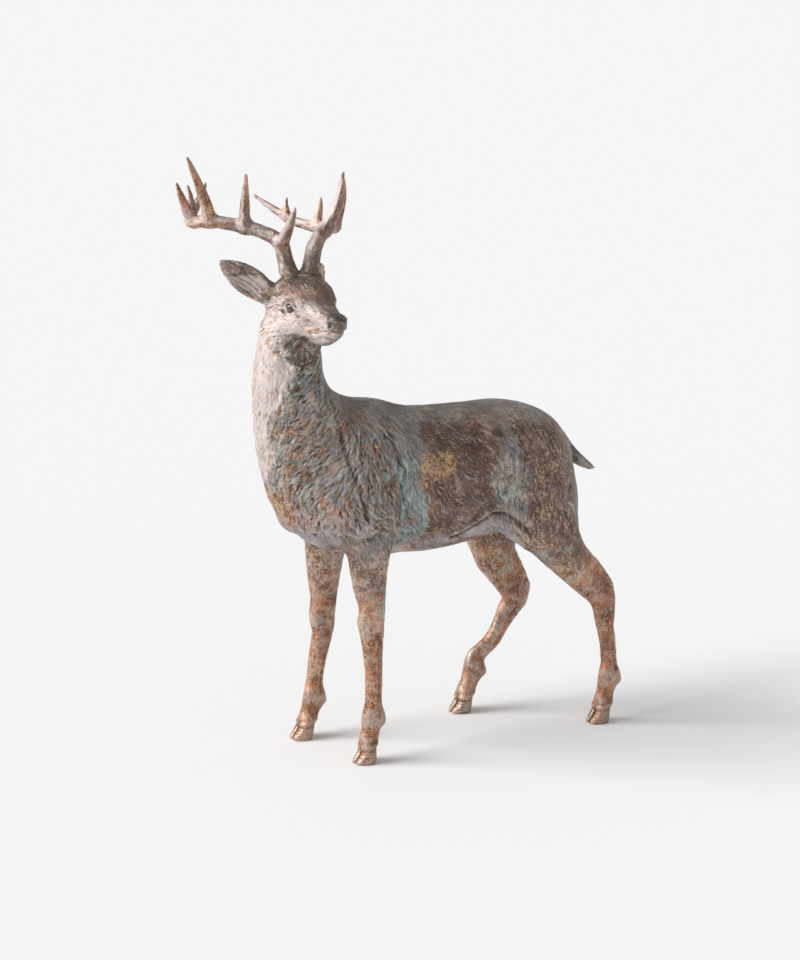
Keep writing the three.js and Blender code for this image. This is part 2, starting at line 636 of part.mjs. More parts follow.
const body = toSolid(bodySkin())
  .intersect(halfSpace(1, [0, 0, 0]))
  .intersect(halfSpace(-1, [0, 0, SEAM.neck[2] - more], SEAM.neckTilt));
const head = toSolid(headSkin())
  .intersect(halfSpace(1, [0, 0, SEAM.neck[2] + more], SEAM.neckTilt))
  .subtract(block(66, 60, 40, [MID, 6, SEAM.crown - half + 20]));
const antlers = toSolid(antlerSkin()).intersect(halfSpace(1, [0, 0, SEAM.crown + half]));

const deer = new THREE.Group();
deer.name = 'deer';
deer.add(toMesh(body, 'body', bronze));
deer.add(toMesh(head, 'head', bronze));
deer.add(toMesh(antlers, 'antlers', bronze));

// the origin goes to the middle of the bottom of the whole
const bounds = new THREE.Box3().setFromObject(deer);
const middle = bounds.getCenter(new THREE.Vector3());
deer.children.forEach((mesh) => mesh.geometry.translate(-middle.x, -middle.y, -bounds.min.z));

export default deer;
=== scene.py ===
# %% [markdown]
# A standing stag, cast in bronze in three pieces: the body with its four legs, the head, and the antlers.
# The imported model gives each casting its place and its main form. This script gives each one its real
# skin: the coat modelled lock by lock in the wax, the face, the grooves of the antlers and the patina.

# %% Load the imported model
import json
import math

import bpy
import numpy as np
from mathutils import Matrix, Vector

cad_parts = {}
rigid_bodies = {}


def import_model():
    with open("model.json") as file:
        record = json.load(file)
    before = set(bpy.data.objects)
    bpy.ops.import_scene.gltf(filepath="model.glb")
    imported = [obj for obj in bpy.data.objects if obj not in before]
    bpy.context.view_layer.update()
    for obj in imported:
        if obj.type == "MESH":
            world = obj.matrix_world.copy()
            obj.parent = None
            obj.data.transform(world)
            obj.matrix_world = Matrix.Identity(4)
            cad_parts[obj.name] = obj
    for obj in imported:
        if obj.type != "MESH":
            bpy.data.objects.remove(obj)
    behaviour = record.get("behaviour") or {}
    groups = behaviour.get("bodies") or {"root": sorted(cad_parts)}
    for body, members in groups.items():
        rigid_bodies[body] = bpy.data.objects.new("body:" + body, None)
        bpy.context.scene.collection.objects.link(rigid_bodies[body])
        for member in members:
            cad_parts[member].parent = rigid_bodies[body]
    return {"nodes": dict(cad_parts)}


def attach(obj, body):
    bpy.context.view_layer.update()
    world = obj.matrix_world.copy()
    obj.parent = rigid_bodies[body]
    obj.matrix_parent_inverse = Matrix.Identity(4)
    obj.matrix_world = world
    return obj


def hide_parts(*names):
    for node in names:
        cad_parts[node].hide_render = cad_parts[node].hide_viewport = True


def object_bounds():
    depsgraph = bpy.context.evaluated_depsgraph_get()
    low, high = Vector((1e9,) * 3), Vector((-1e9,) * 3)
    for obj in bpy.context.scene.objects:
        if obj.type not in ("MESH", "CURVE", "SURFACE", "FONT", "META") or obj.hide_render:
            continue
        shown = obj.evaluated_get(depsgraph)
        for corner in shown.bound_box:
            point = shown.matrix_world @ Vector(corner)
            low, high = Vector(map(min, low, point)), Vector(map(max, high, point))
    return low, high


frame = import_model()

scene = bpy.context.scene
cad_box = [[float(v) for v in corner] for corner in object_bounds()]
print("castings:", sorted(frame["nodes"]), "box in metres:", cad_box)

# %% [markdown]
# The camera comes first. It stands three metres off, a little above the floor, and looks at the deer's left
# side from ahead of the shoulder. A long lens from far away keeps the proportions of the legs true.

# %% Camera
TARGET = Vector((-0.02729, -0.06917, 0.285))  # the middle of the view
TURN, LIFT, DISTANCE = math.radians(-28), math.radians(14), 3.0


def direction(turn, lift):
    """The unit vector from the deer towards a place at this turn about the vertical and this lift."""
    return Vector((math.sin(turn) * math.cos(lift), -math.cos(turn) * math.cos(lift), math.sin(lift)))


camera_data = bpy.data.cameras.new("camera")
camera_data.lens = 112.5
camera_data.sensor_width = 36
camera_data.clip_end = 50
camera = bpy.data.objects.new("camera", camera_data)
camera.location = TARGET + DISTANCE * direction(TURN, LIFT)
camera.rotation_euler = (TARGET - camera.location).to_track_quat("-Z", "Y").to_euler()
scene.collection.objects.link(camera)
scene.camera = camera
print("camera at", [round(v, 3) for v in camera.location])

# %% [markdown]
# Sculpting in code works best on plain arrays. These helpers read a casting's points in millimetres, measured
# from the spot on the floor under the withers, where the deer's own middle plane is y = 0.

# %% Meshes as arrays
ORIGIN = np.array([-93.29, -36.17, 0.0])  # under the withers, on the middle plane of the body


def points_of(mesh):
    co = np.empty(len(mesh.vertices) * 3, np.float32)
    mesh.vertices.foreach_get("co", co)
    return co.reshape(-1, 3).astype(float) * 1000 - ORIGIN


def set_points(mesh, co):
    mesh.vertices.foreach_set("co", ((co + ORIGIN) / 1000).astype(np.float32).ravel())
    mesh.update()


def normals_of(mesh):
    out = np.empty(len(mesh.vertices) * 3, np.float32)
    mesh.vertex_normals.foreach_get("vector", out)
    return out.reshape(-1, 3).astype(float)


def faces_of(mesh, corners=3):
    """The corner indices of a mesh whose faces all have this many corners."""
    out = np.empty(len(mesh.loops), np.int32)
    mesh.loops.foreach_get("vertex_index", out)
    return out.reshape(-1, corners)


def edges_of(mesh):
    out = np.empty(len(mesh.edges) * 2, np.int32)
    mesh.edges.foreach_get("vertices", out)
    return out.reshape(-1, 2)


print("arrays are in mm from", ORIGIN)

# %% [markdown]
# A form in clay has soft steps and no hard thresholds. Ramp and band are such steps. The mean of a point's
# neighbours smooths a surface, and the difference from it tells ridges from hollows.

# %% Soft steps and smoothing
def unit(v):
    return v / np.maximum(np.linalg.norm(v, axis=-1, keepdims=True), 1e-9)


def ramp(value, start, stop):
    """0 at start, 1 at stop, with soft ends."""
    t = np.clip((value - start) / (stop - start), 0, 1)
    return t * t * (3 - 2 * t)


def band(value, low, high, soft):
    """1 between low and high, falling to 0 over the soft width outside them."""
    return ramp(value, low - soft, low) * ramp(value, high + soft, high)


def neighbour_mean(values, edges):
    """The mean of each point's neighbours."""
    a, b = edges.T
    n = len(values)
    count = np.bincount(a, minlength=n) + np.bincount(b, minlength=n)
    flat = values.reshape(n, -1)
    total = [np.bincount(a, flat[b, k], n) + np.bincount(b, flat[a, k], n) for k in range(flat.shape[1])]
    return (np.stack(total, 1) / np.maximum(count, 1)[:, None]).reshape(values.shape)


def relax(values, edges, rounds, pull=0.6, push=0.0):
    """Smooths values over the mesh. With push, the form keeps its size (Taubin's method)."""
    for _ in range(rounds):
        values = values + pull * (neighbour_mean(values, edges) - values)
        if push:
            values = values - push * (neighbour_mean(values, edges) - values)
    return values


print("a ramp from 0 to 10 is", round(float(ramp(2.5, 0, 10)), 3), "at 2.5")

# %% [markdown]
# Hair and patina are never regular, so both need noise. This one gives each corner of a lattice a number from
# a hash and blends between them. It has a seed and no state, so every run gives the same deer.

# %% Noise and scattered seeds
def lattice(cell, seed):
    i, j, k = (cell[..., n].astype(np.int64) for n in range(3))
    h = (i * 73856093) ^ (j * 19349663) ^ (k * 83492791) ^ (seed * 2654435761)
    h = (h ^ (h >> 13)) * 1274126177
    h = (h ^ (h >> 16)) * 668265263
    return ((h ^ (h >> 15)) & 0xFFFFF) / 0xFFFFF


def noise(co, size, seed=0):
    """Smooth noise from 0 to 1, with bumps about as wide as size in mm."""
    q = co / size
    cell = np.floor(q)
    u = q - cell
    u = u * u * (3 - 2 * u)
    total = np.zeros(co.shape[:-1])
    for corner in np.ndindex(2, 2, 2):
        share = np.prod(np.where(corner, u, 1 - u), axis=-1)
        total += share * lattice(cell + corner, seed)
    return total


def cell_key(cell):
    cell = cell.astype(np.int64) + 512
    return (cell[..., 0] * 1024 + cell[..., 1]) * 1024 + cell[..., 2]


def scatter(co, pitch, seed):
    """Picks points about one pitch apart. Returns their indices and the table that finds them by cell."""
    order = np.random.default_rng(seed).permutation(len(co))
    keys, first = np.unique(cell_key(np.floor(co[order] / pitch)), return_index=True)
    return order[first], keys


def nearby(co, keys, pitch):
    """For each of the 27 cells around every point, the seed in it, or -1."""
    home = np.floor(co / pitch)
    for step in np.ndindex(3, 3, 3):
        wanted = cell_key(home + np.array(step) - 1)
        place = np.minimum(np.searchsorted(keys, wanted), len(keys) - 1)
        yield np.where(keys[place] == wanted, place, -1)


print("noise at the origin:", round(float(noise(np.zeros((1, 3)), 10)[0]), 3))

# %% [markdown]
# The founder cast the deer in parts and joined them where the seam hides best: round the neck, under the
# mane, and across the crown under the antlers. A dark line still shows there. Each casting here is first
# welded to its neighbour and sawn off at the end, so both skins run on into each other at a clean cut.

# %% Saw planes between the castings
NECK_SEAM = 438.0  # mm, height of the saw cut through the neck, on the middle plane
NECK_SLOPE = 0.8  # it drops towards the throat
NECK_TILT = math.atan(NECK_SLOPE)
STEEP = math.hypot(1, NECK_SLOPE)  # turns a distance square to the neck seam into a height
CROWN_SEAM = 496.0  # mm, height of the cut under the antlers
GAP = 0.4  # mm between two castings at a seam
TOUCH = 0.06  # mm, how near a point is to a plane to lie on it
OVERLAP = 1.5  # mm that a sawn face is pushed into its neighbour, so that the two weld
SOLE_SPARE = 3.0  # mm added under the soles, which the last saw cut takes off again
NECK_UP = np.array([0, -NECK_SLOPE, 1.0]) / STEEP
CROWN_UP = np.array([0, 0, 1.0])


def above_neck_seam(co):
    return (co[:, 2] - NECK_SEAM - NECK_SLOPE * co[:, 1]) / STEEP


def above_crown_seam(co):
    return co[:, 2] - CROWN_SEAM


def welded(node):
    """The points and triangles of a packed casting, with its sawn faces pushed into its neighbour."""
    mesh = frame["nodes"][node].data
    co, same = np.unique(np.round(points_of(mesh), 3), axis=0, return_inverse=True)
    faces = same.ravel()[faces_of(mesh)]
    for height, up in ((above_neck_seam(co), NECK_UP), (above_crown_seam(co), CROWN_UP)):
        for side in (-1, 1):
            on_cut = np.abs(height - side * GAP / 2) < TOUCH
            co[on_cut] -= side * OVERLAP * up
    co[co[:, 2] < TOUCH, 2] -= SOLE_SPARE
    return co, faces


for node in sorted(frame["nodes"]):
    print(node, "is packed as", len(welded(node)[1]), "triangles")

# %% [markdown]
# A saw is a large block with one face in the seam, and what lies inside it is cut away. The cut is closed
# again with a flat face, as on a real sawn casting, so every piece stays a watertight solid.

# %% Sawing a mesh
BIG = 1000.0  # mm, the side of a saw block larger than the deer


def new_mesh(name, co, faces):
    mesh = bpy.data.meshes.new(name)
    count, corners = faces.shape
    mesh.vertices.add(len(co))
    mesh.loops.add(count * corners)
    mesh.polygons.add(count)
    mesh.loops.foreach_set("vertex_index", faces.astype(np.int32).ravel())
    mesh.polygons.foreach_set("loop_start", np.arange(count, dtype=np.int32) * corners)
    set_points(mesh, co)
    mesh.update(calc_edges=True)
    mesh.validate()
    return mesh


def applied(mesh, kind, **settings):
    """The mesh after one modifier."""
    holder = bpy.data.objects.new("holder", mesh)
    scene.collection.objects.link(holder)
    step = holder.modifiers.new(kind.lower(), kind)
    for key, value in settings.items():
        setattr(step, key, value)
    shown = holder.evaluated_get(bpy.context.evaluated_depsgraph_get())
    result = bpy.data.meshes.new_from_object(shown)
    bpy.data.objects.remove(holder)
    return result


def half_space(height, up, tilt=0.0):
    """A saw block that takes everything above (up = 1) or below (up = -1) a plane through the middle."""
    return (0, 0, height + up * BIG / 2 / math.cos(tilt)), (BIG, BIG, BIG), tilt


def sawn(mesh, blocks):
    """The mesh with these blocks cut away."""
    for centre, size, tilt in blocks:
        corners = (np.array(list(np.ndindex(2, 2, 2))) - 0.5) * size
        corners = corners @ np.array(Matrix.Rotation(tilt, 3, "X")).T + centre
        sides = [(0, 1, 3, 2), (4, 6, 7, 5), (0, 4, 5, 1), (2, 3, 7, 6), (0, 2, 6, 4), (1, 5, 7, 3)]
        saw = bpy.data.objects.new("saw", new_mesh("saw", corners, np.array(sides)))
        scene.collection.objects.link(saw)
        mesh = applied(mesh, "BOOLEAN", operation="DIFFERENCE", object=saw, solver="MANIFOLD")
        bpy.data.objects.remove(saw)
    return mesh


print("the neck is sawn at", round(math.degrees(NECK_TILT), 1), "degrees")

# %% [markdown]
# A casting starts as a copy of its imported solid, like a wax without its surface. Voxel remeshing makes an
# even net of quads, Taubin's smoothing takes out the flat facets without thinning the legs, and one level
# of subdivision makes the net fine enough to model hair in.

# %% The smooth blank of a casting
def biggest_shell(mesh):
    """Leaves out loose crumbs, such as a pocket inside a weld."""
    edges = edges_of(mesh)
    label = np.arange(len(mesh.vertices))
    while True:
        low = np.minimum(label[edges[:, 0]], label[edges[:, 1]])
        before = label.copy()
        np.minimum.at(label, edges[:, 0], low)
        np.minimum.at(label, edges[:, 1], low)
        label = label[label]
        if (label == before).all():
            break
    keep = label == np.bincount(label).argmax()
    faces = faces_of(mesh, 4)
    faces = faces[keep[faces[:, 0]]]
    number = np.cumsum(keep) - 1
    return new_mesh(mesh.name, points_of(mesh)[keep], number[faces])


def blank(nodes, voxel, rounds, crop):
    """A net of quads over these castings together, without what lies in the crop blocks. Voxel is the width
    of a quad in mm before the subdivision, and rounds says how often the net is smoothed."""
    parts, count = [], 0
    for node in nodes:
        co, faces = welded(node)
        cut = sawn(new_mesh(node, co, faces), crop)
        cut = applied(cut, "TRIANGULATE")
        parts.append((points_of(cut), faces_of(cut) + count))
        count += len(cut.vertices)
    joined = new_mesh("joined", np.concatenate([p[0] for p in parts]), np.concatenate([p[1] for p in parts]))
    net = biggest_shell(applied(joined, "REMESH", mode="VOXEL", voxel_size=voxel / 1000))
    set_points(net, relax(points_of(net), edges_of(net), rounds, pull=0.63, push=0.67))
    fine = applied(net, "SUBSURF", levels=1, render_levels=1)
    print("blank of", nodes, len(fine.polygons), "quads")
    return fine


# %% [markdown]
# The direction in which the hair lies decides how the whole surface reads. On a deer it runs from the nose
# backwards, down the neck, back and down over the ribs, and straight down the legs. A few guides, each a
# place and a direction, are blended by distance and laid flat on the skin.

# %% Lie of the coat
# place x, y, z in mm, then direction; y < 0 is the deer's left side
COAT_GUIDES = [
    # neck: round the throat, which faces -Y high up and -X low down
    (-70, 10, 430, 0.35, -0.2, -0.9), (-74, -8, 400, 0.3, -0.15, -0.95), (-60, -34, 420, 0.5, -0.1, -0.85),
    (-34, -38, 414, -0.8, 0.15, -0.6), (-10, -26, 418, -0.8, 0.1, -0.6), (-4, 10, 425, -0.2, 0, -0.95),
    (-40, 38, 420, -0.1, 0.1, -0.95), (-76, 0, 370, 0.05, 0, -1), (-66, -26, 380, 0.1, 0.1, -0.98),
    (-40, -38, 380, -0.8, 0.25, -0.62), (-12, -34, 380, -0.8, 0.1, -0.6), (6, -10, 385, -0.6, 0, -0.8),
    (-40, 38, 380, -0.3, 0, -0.95), (0, 26, 380, -0.4, 0, -0.9),
    (-76, 0, 330, 0.0, 0, -1), (-66, -30, 335, -0.4, 0.3, -0.85), (-36, -46, 340, -0.9, 0.3, -0.45),
    (-26, -48, 360, -0.9, 0.15, -0.5), (-30, -50, 312, -0.85, 0.2, -0.6), (-8, -50, 340, -0.8, 0.05, -0.6),
    (-4, -42, 376, -0.8, 0.05, -0.6), (-8, -54, 312, -0.7, 0.05, -0.75), (-36, 46, 335, -0.4, 0, -0.9),
    (-8, 50, 340, -0.3, 0, -0.95),
    (-66, 0, 285, 0.25, 0, -0.95), (-50, -34, 290, -0.4, 0.3, -0.85), (-24, -50, 288, -0.65, 0.1, -0.75),
    (-50, 34, 290, -0.1, -0.2, -0.95), (-24, 50, 290, -0.2, 0, -0.95),
    (-30, 0, 245, 0.7, 0, -0.6), (-10, -34, 250, 0.1, 0.2, -0.9), (-10, 34, 250, 0.1, -0.2, -0.9),
]
SIDE_GUIDES = [
    # withers, back and rump: given on the left side, and mirrored to the right
    (20, 0, 366, 0.8, 0, -0.2), (70, 0, 360, 1, 0, 0), (130, 0, 352, 1, 0, 0), (190, 0, 350, 1, 0, 0),
    (230, 0, 342, 0.9, 0, -0.3), (20, -30, 352, 0.25, -0.3, -0.8), (50, -36, 345, 0.6, -0.3, -0.65),
    (14, -52, 320, -0.1, -0.05, -1), (40, -56, 315, 0.25, 0, -0.95), (20, -58, 280, 0.1, 0, -1),
    (10, -56, 262, 0.6, 0, -0.8), (32, -56, 250, 0.95, 0, -0.25),
    (40, -56, 270, 0.1, 0, -1), (30, -54, 245, 0.4, 0, -0.9), (50, -50, 238, 0.7, 0, -0.6),
    (70, -50, 330, 0.6, -0.2, -0.7), (66, -58, 300, 0.2, 0, -1), (70, -58, 262, 0.15, 0, -1),
    (105, -46, 335, 0.8, -0.2, -0.5), (105, -60, 300, 0.6, 0, -0.75), (105, -60, 262, 0.6, 0, -0.7),
    (150, -40, 335, 0.85, -0.2, -0.4), (150, -58, 295, 0.75, 0, -0.65), (145, -56, 250, 0.8, 0, -0.5),
    (186, -40, 325, 0.6, -0.2, -0.75), (186, -54, 285, 0.15, 0, -1), (184, -50, 245, 0.1, 0, -1),
    (215, -44, 315, 0.3, -0.2, -0.9), (218, -54, 270, 0.1, 0, -1), (222, -50, 230, 0.2, 0, -1),
    (252, -30, 310, 0.45, -0.1, -0.85), (262, -30, 270, 0.3, 0, -0.95), (262, -30, 235, 0.4, 0, -0.9),
    (275, 0, 292, 0.8, 0, -0.6), (300, 0, 270, 0.8, 0, -0.6),
    (80, 0, 205, 1, 0, 0), (140, 0, 208, 1, 0, 0), (185, -10, 222, 0.9, 0, 0.1),
    (27, -49, 150, 0, 0, -1), (27, -49, 60, 0, 0, -1), (250, -45, 180, 0.5, 0, -0.85),
    (300, -45, 110, 0.05, 0, -1), (306, -49, 50, 0, 0, -1), (210, -45, 170, 0.5, 0, -0.85),
    (240, -45, 110, -0.4, 0, -0.9), (205, -49, 50, -0.3, 0, -0.95),
]


def flow_from(guides, co, normal):
    """The lie of the hair at each point: the guides' directions by distance, laid flat on the skin."""
    total = np.zeros_like(co)
    for g in np.array(guides, float):
        gap = np.linalg.norm(co - g[:3], axis=1)
        total += unit(g[3:])[None, :] / (gap[:, None] ** 3 + 40)
    total -= (total * normal).sum(1, keepdims=True) * normal
    return unit(total)


def coat_flow(co, normal):
    mirrored = [(x, -y, z, a, -b, c) for x, y, z, a, b, c in SIDE_GUIDES if y]
    return flow_from(COAT_GUIDES + SIDE_GUIDES + mirrored, co, normal)


print(len(COAT_GUIDES), "guides on the neck and", len(SIDE_GUIDES), "on the side")

# %% [markdown]
# A sculptor models a coat with pointed strokes that overlap like shingles. Here each stroke starts at a seed
# and lies along the hair: it rises towards its tip, is widest a third of the way along and bends a little.
# Where strokes overlap the highest one wins, which leaves the sharp valleys between them.

# %% Modelling the locks
def strokes(co, flow, across, pitch, length, width, curl, seed):
    """Height from 0 to 1 of overlapping pointed strokes about one pitch apart; all sizes are in mm."""
    seeds, keys = scatter(co, pitch, seed)
    place, lie, side = co[seeds], flow[seeds], across[seeds]
    draw = np.random.default_rng(seed + 1).random((len(seeds), 4))
    best = np.zeros(len(co))
    for found in nearby(co - flow * (length * 0.45), keys, pitch):
        some = np.flatnonzero(found >= 0)
        s = found[some]
        rel = co[some] - place[s]
        t = (rel * lie[s]).sum(1) / (length * (0.75 + 0.5 * draw[s, 0]))
        bend = curl * np.sin(t * (3 + 4 * draw[s, 1]) + 6.28 * draw[s, 2]) * t
        off = (rel * side[s]).sum(1) + bend
        half = 0.5 * width * (0.8 + 0.4 * draw[s, 3]) * np.clip(1 - t * t, 0, 1) ** 0.8 * ramp(t, -0.15, 0.2)
        body = np.clip(1 - (off / np.maximum(half, 1e-6)) ** 2, 0, 1)
        height = np.sqrt(body) * (0.3 + 0.7 * np.clip(t, 0, 1)) * (0.7 + 0.3 * draw[s, 1])
        height[(t < -0.15) | (t > 1)] = 0
        best[some] = np.maximum(best[some], height)
    return best


# %% [markdown]
# Very fine hairs are too small for the mesh, so the finish draws them. Each patch of skin gets its own flat
# coordinates, along the hair and across it, and the patches of three layers fade out before they meet, so
# that no fold shows. The finish can then stretch its noise along the hair anywhere on the deer.

# %% Hair coordinates for the finishes
PATCH = 20.0  # mm between the patches of one layer
FAR = 1e9  # mm, further than anything


def patch_frames(co, flow, across, wave, start_seed):
    """Three layers of patches: for each, (along, across, number) at every point, and the layers' shares.
    Wave is how far in mm the hairs swing to either side."""
    swing = wave * ((noise(co, 13, 91) - 0.5) * 2 + (noise(co, 6, 92) - 0.5))
    frames, shares = [], []
    for layer in range(3):
        seeds, keys = scatter(co, PATCH, start_seed + layer)
        near, second = np.full((2, len(co)), FAR)
        who = np.zeros(len(co), int)
        for found in nearby(co, keys, PATCH):
            gap = np.linalg.norm(co - co[seeds[found]], axis=1)
            gap[found < 0] = FAR
            closer = gap < near
            second = np.where(closer, near, np.minimum(second, gap))
            who = np.where(closer, found, who)
            near = np.where(closer, gap, near)
        s = seeds[who]
        rel = co - co[s]
        frames.append(np.stack([(rel * flow[s]).sum(1), (rel * across[s]).sum(1) + swing, who * 7.0], 1))
        shares.append(ramp(second - near, 0.5, 9.0) + 1e-3)
    shares = np.stack(shares, 1)
    return frames, shares / np.sqrt((shares**2).sum(1, keepdims=True))


def strands(frames, shares, width, length, seed):
    """Heights from about -1 to 1 of streaks this many mm wide and long, along the hair."""
    total = 0
    for layer, place in enumerate(frames):
        q = place / (length, width, 1.0)
        streak = noise(q, 1.0, seed + layer) + 0.5 * noise(q * (1.7, 2.1, 1.0), 1.0, seed + 9 + layer) - 0.75
        total = total + streak * shares[:, layer]
    return total * 1.6


def set_attribute(mesh, name, values):
    """Stores one number or one vector for each point, where the finish can read it."""
    kind = "FLOAT_VECTOR" if values.ndim == 2 else "FLOAT"
    field = "vector" if values.ndim == 2 else "value"
    attribute = mesh.attributes.new(name, kind, "POINT")
    attribute.data.foreach_set(field, values.astype(np.float32).ravel())


print("patches of", PATCH, "mm in three layers")

# %% [markdown]
# Some forms are single lines that the sculptor drew with a tool: the fold of the flank, the valleys behind
# the mane and the shoulder, the mouth and the lids. A groove is 1 on such a line and fades out beside it.

# %% Lines carved into a form
def line_gap(co, line):
    """The distance in mm from each point to a line of points."""
    best = np.full(len(co), FAR)
    line = np.array(line, float)
    for start, stop in zip(line[:-1], line[1:]):
        reach = stop - start
        t = np.clip(((co - start) @ reach) / (reach @ reach), 0, 1)
        best = np.minimum(best, np.linalg.norm(co - start - t[:, None] * reach, axis=1))
    return best


def groove(co, line, width):
    """1 along the line, falling to 0 about one width from it."""
    return np.exp(-((line_gap(co, line) / width) ** 2))


def side_groove(co, line, width):
    """The same for a line of x and z, on both flanks at once."""
    return groove(co * (1, 0, 1), [(x, 0, z) for x, z in line], width) * ramp(np.abs(co[:, 1]), 12, 24)


# %% [markdown]
# The body carries most of the hair. Long curly locks hang on the throat and chest, wavy ones on the shoulder,
# and short flat strokes cover the rest, finest on the legs. These functions say where each kind lies.

# %% Regions of the coat
def around_neck(co):
    """Distance in mm round the neck and chest from the line down the front."""
    middle = np.interp(co[:, 2], [260, 420], [12, -40])
    return np.arctan2(co[:, 1], middle - co[:, 0]) * 48


def mane_hem(co):
    """Height in mm of the ragged lower edge of the mane."""
    return 237 + 11 * (noise(co * (1, 1, 0.2), 9, 3) - 0.5)


def mane_share(co):
    """The hanging locks of throat and chest."""
    x, z, hem = co[:, 0], co[:, 2], mane_hem(co)
    return ramp(z, hem - 2, hem + 5) * ramp(np.abs(around_neck(co)), 126, 92) * ramp(x, 66, 20)


def smooth_side(co):
    """The side of the neck that is stretched by the turn of the head: short flat hair."""
    arc, z = around_neck(co), co[:, 2]
    start = np.interp(z, [270, 335, 365, 395, 430], [-4, -13, -22, -44, -62])
    return ramp(arc, start - 9, start + 9) * ramp(arc, 100, 70) * ramp(z, 262, 296)


def shoulder_share(co):
    x, z = co[:, 0], co[:, 2]
    return ramp(z, 234, 246) * ramp(z, 360, 335) * ramp(x, -16, 6) * ramp(x, 74, 58)


def leg_share(co):
    return ramp(co[:, 2], 232, 196)


# %% [markdown]
# Under a deer's thin leg skin the bones and tendons show: the knee, the fetlock, the cord behind the cannon
# bone. A raised band, the coronet, rims the hoof, and a cleft parts its two toes. The trunk has the fold of
# the flank, and valleys where one muscle meets the next.

# %% Forms of the legs and folds of the trunk
LEG_BONES = [  # side, then x, z down the leg: forearm, knee, cannon, fetlock, pastern, toe
    (-1, [(26, 184), (27, 143), (28, 94), (27, 48), (21, 23), (6, 0)]),
    (1, [(18, 172), (18, 128), (12, 80), (9, 44), (1, 21), (-17, 0)]),
    (-1, [(254, 180), (298, 134), (305, 86), (306, 50), (299, 23), (282, 0)]),
    (1, [(216, 166), (243, 122), (219, 75), (199, 46), (188, 22), (171, 0)]),
]
STANCE = 49  # mm from the middle plane to the middle of each hoof
VALLEYS = [  # line, width, depth: behind the mane, behind the shoulder, three shallow ones round the thigh
    ([(-10, 392), (-6, 360), (-3, 330), (4, 300), (12, 275), (16, 256)], 3.4, 2.2),
    ([(50, 336), (57, 305), (59, 275), (54, 246)], 3.6, 2.0),
    ([(166, 318), (170, 296), (169, 270), (172, 254)], 3.4, 0.9),
    ([(196, 312), (199, 288), (196, 262)], 4.0, 0.8),
    ([(252, 262), (246, 236), (240, 214)], 3.6, 1.0),
]
FLANK_FOLD = [(126, 217), (140, 222), (156, 232), (170, 239), (181, 238), (190, 231), (199, 221)]


def leg_form(co, normal):
    """Tendons, knees, fetlocks, and the coronet, cleft and rings of each hoof, in mm."""
    x, y, z = co.T
    out = np.zeros(len(co))
    for side, bones in LEG_BONES:
        bones = np.array(bones, float)
        bone_x = np.interp(z, bones[::-1, 1], bones[::-1, 0])
        mine = (y * side > 18) & (np.abs(x - bone_x) < 34) & (z < 184)
        behind, off = x - bone_x, np.abs(y - side * STANCE)
        shank = band(z, bones[3, 1] + 8, bones[1, 1] - 14, 10)
        tendon = -0.9 * np.exp(-(((behind - 3.0) / 1.7) ** 2)) * shank * ramp(off, 2, 5)
        knob = 0.9 * noise(co, 10, 17) * band(z, bones[1, 1] - 12, bones[1, 1] + 12, 8)
        ankle = 0.7 * noise(co, 8, 18) * band(z, bones[3, 1] - 8, bones[3, 1] + 8, 6)
        rim = 17 + 0.25 * behind
        coronet = 0.8 * np.exp(-(((z - rim - 1.5) / 2.2) ** 2)) - 0.5 * ramp(z, rim, rim - 2)
        cleft = -3.2 * np.exp(-(((y - side * STANCE) / 1.3) ** 2))
        cleft = cleft * ramp(z, 21, 14) * ramp(-normal[:, 0], -0.1, 0.3)
        rings = 0.18 * np.sin(z * 2.2) * ramp(z, rim, rim - 3)
        out += np.where(mine, tendon + knob + ankle + coronet + cleft + rings, 0)
    return out


# %% [markdown]
# The relief adds these up in mm. Clumps are the big locks, curls the strands within them, and hair the
# scratches of a comb through the wax. The hem of the mane stands proud of the chest below it.

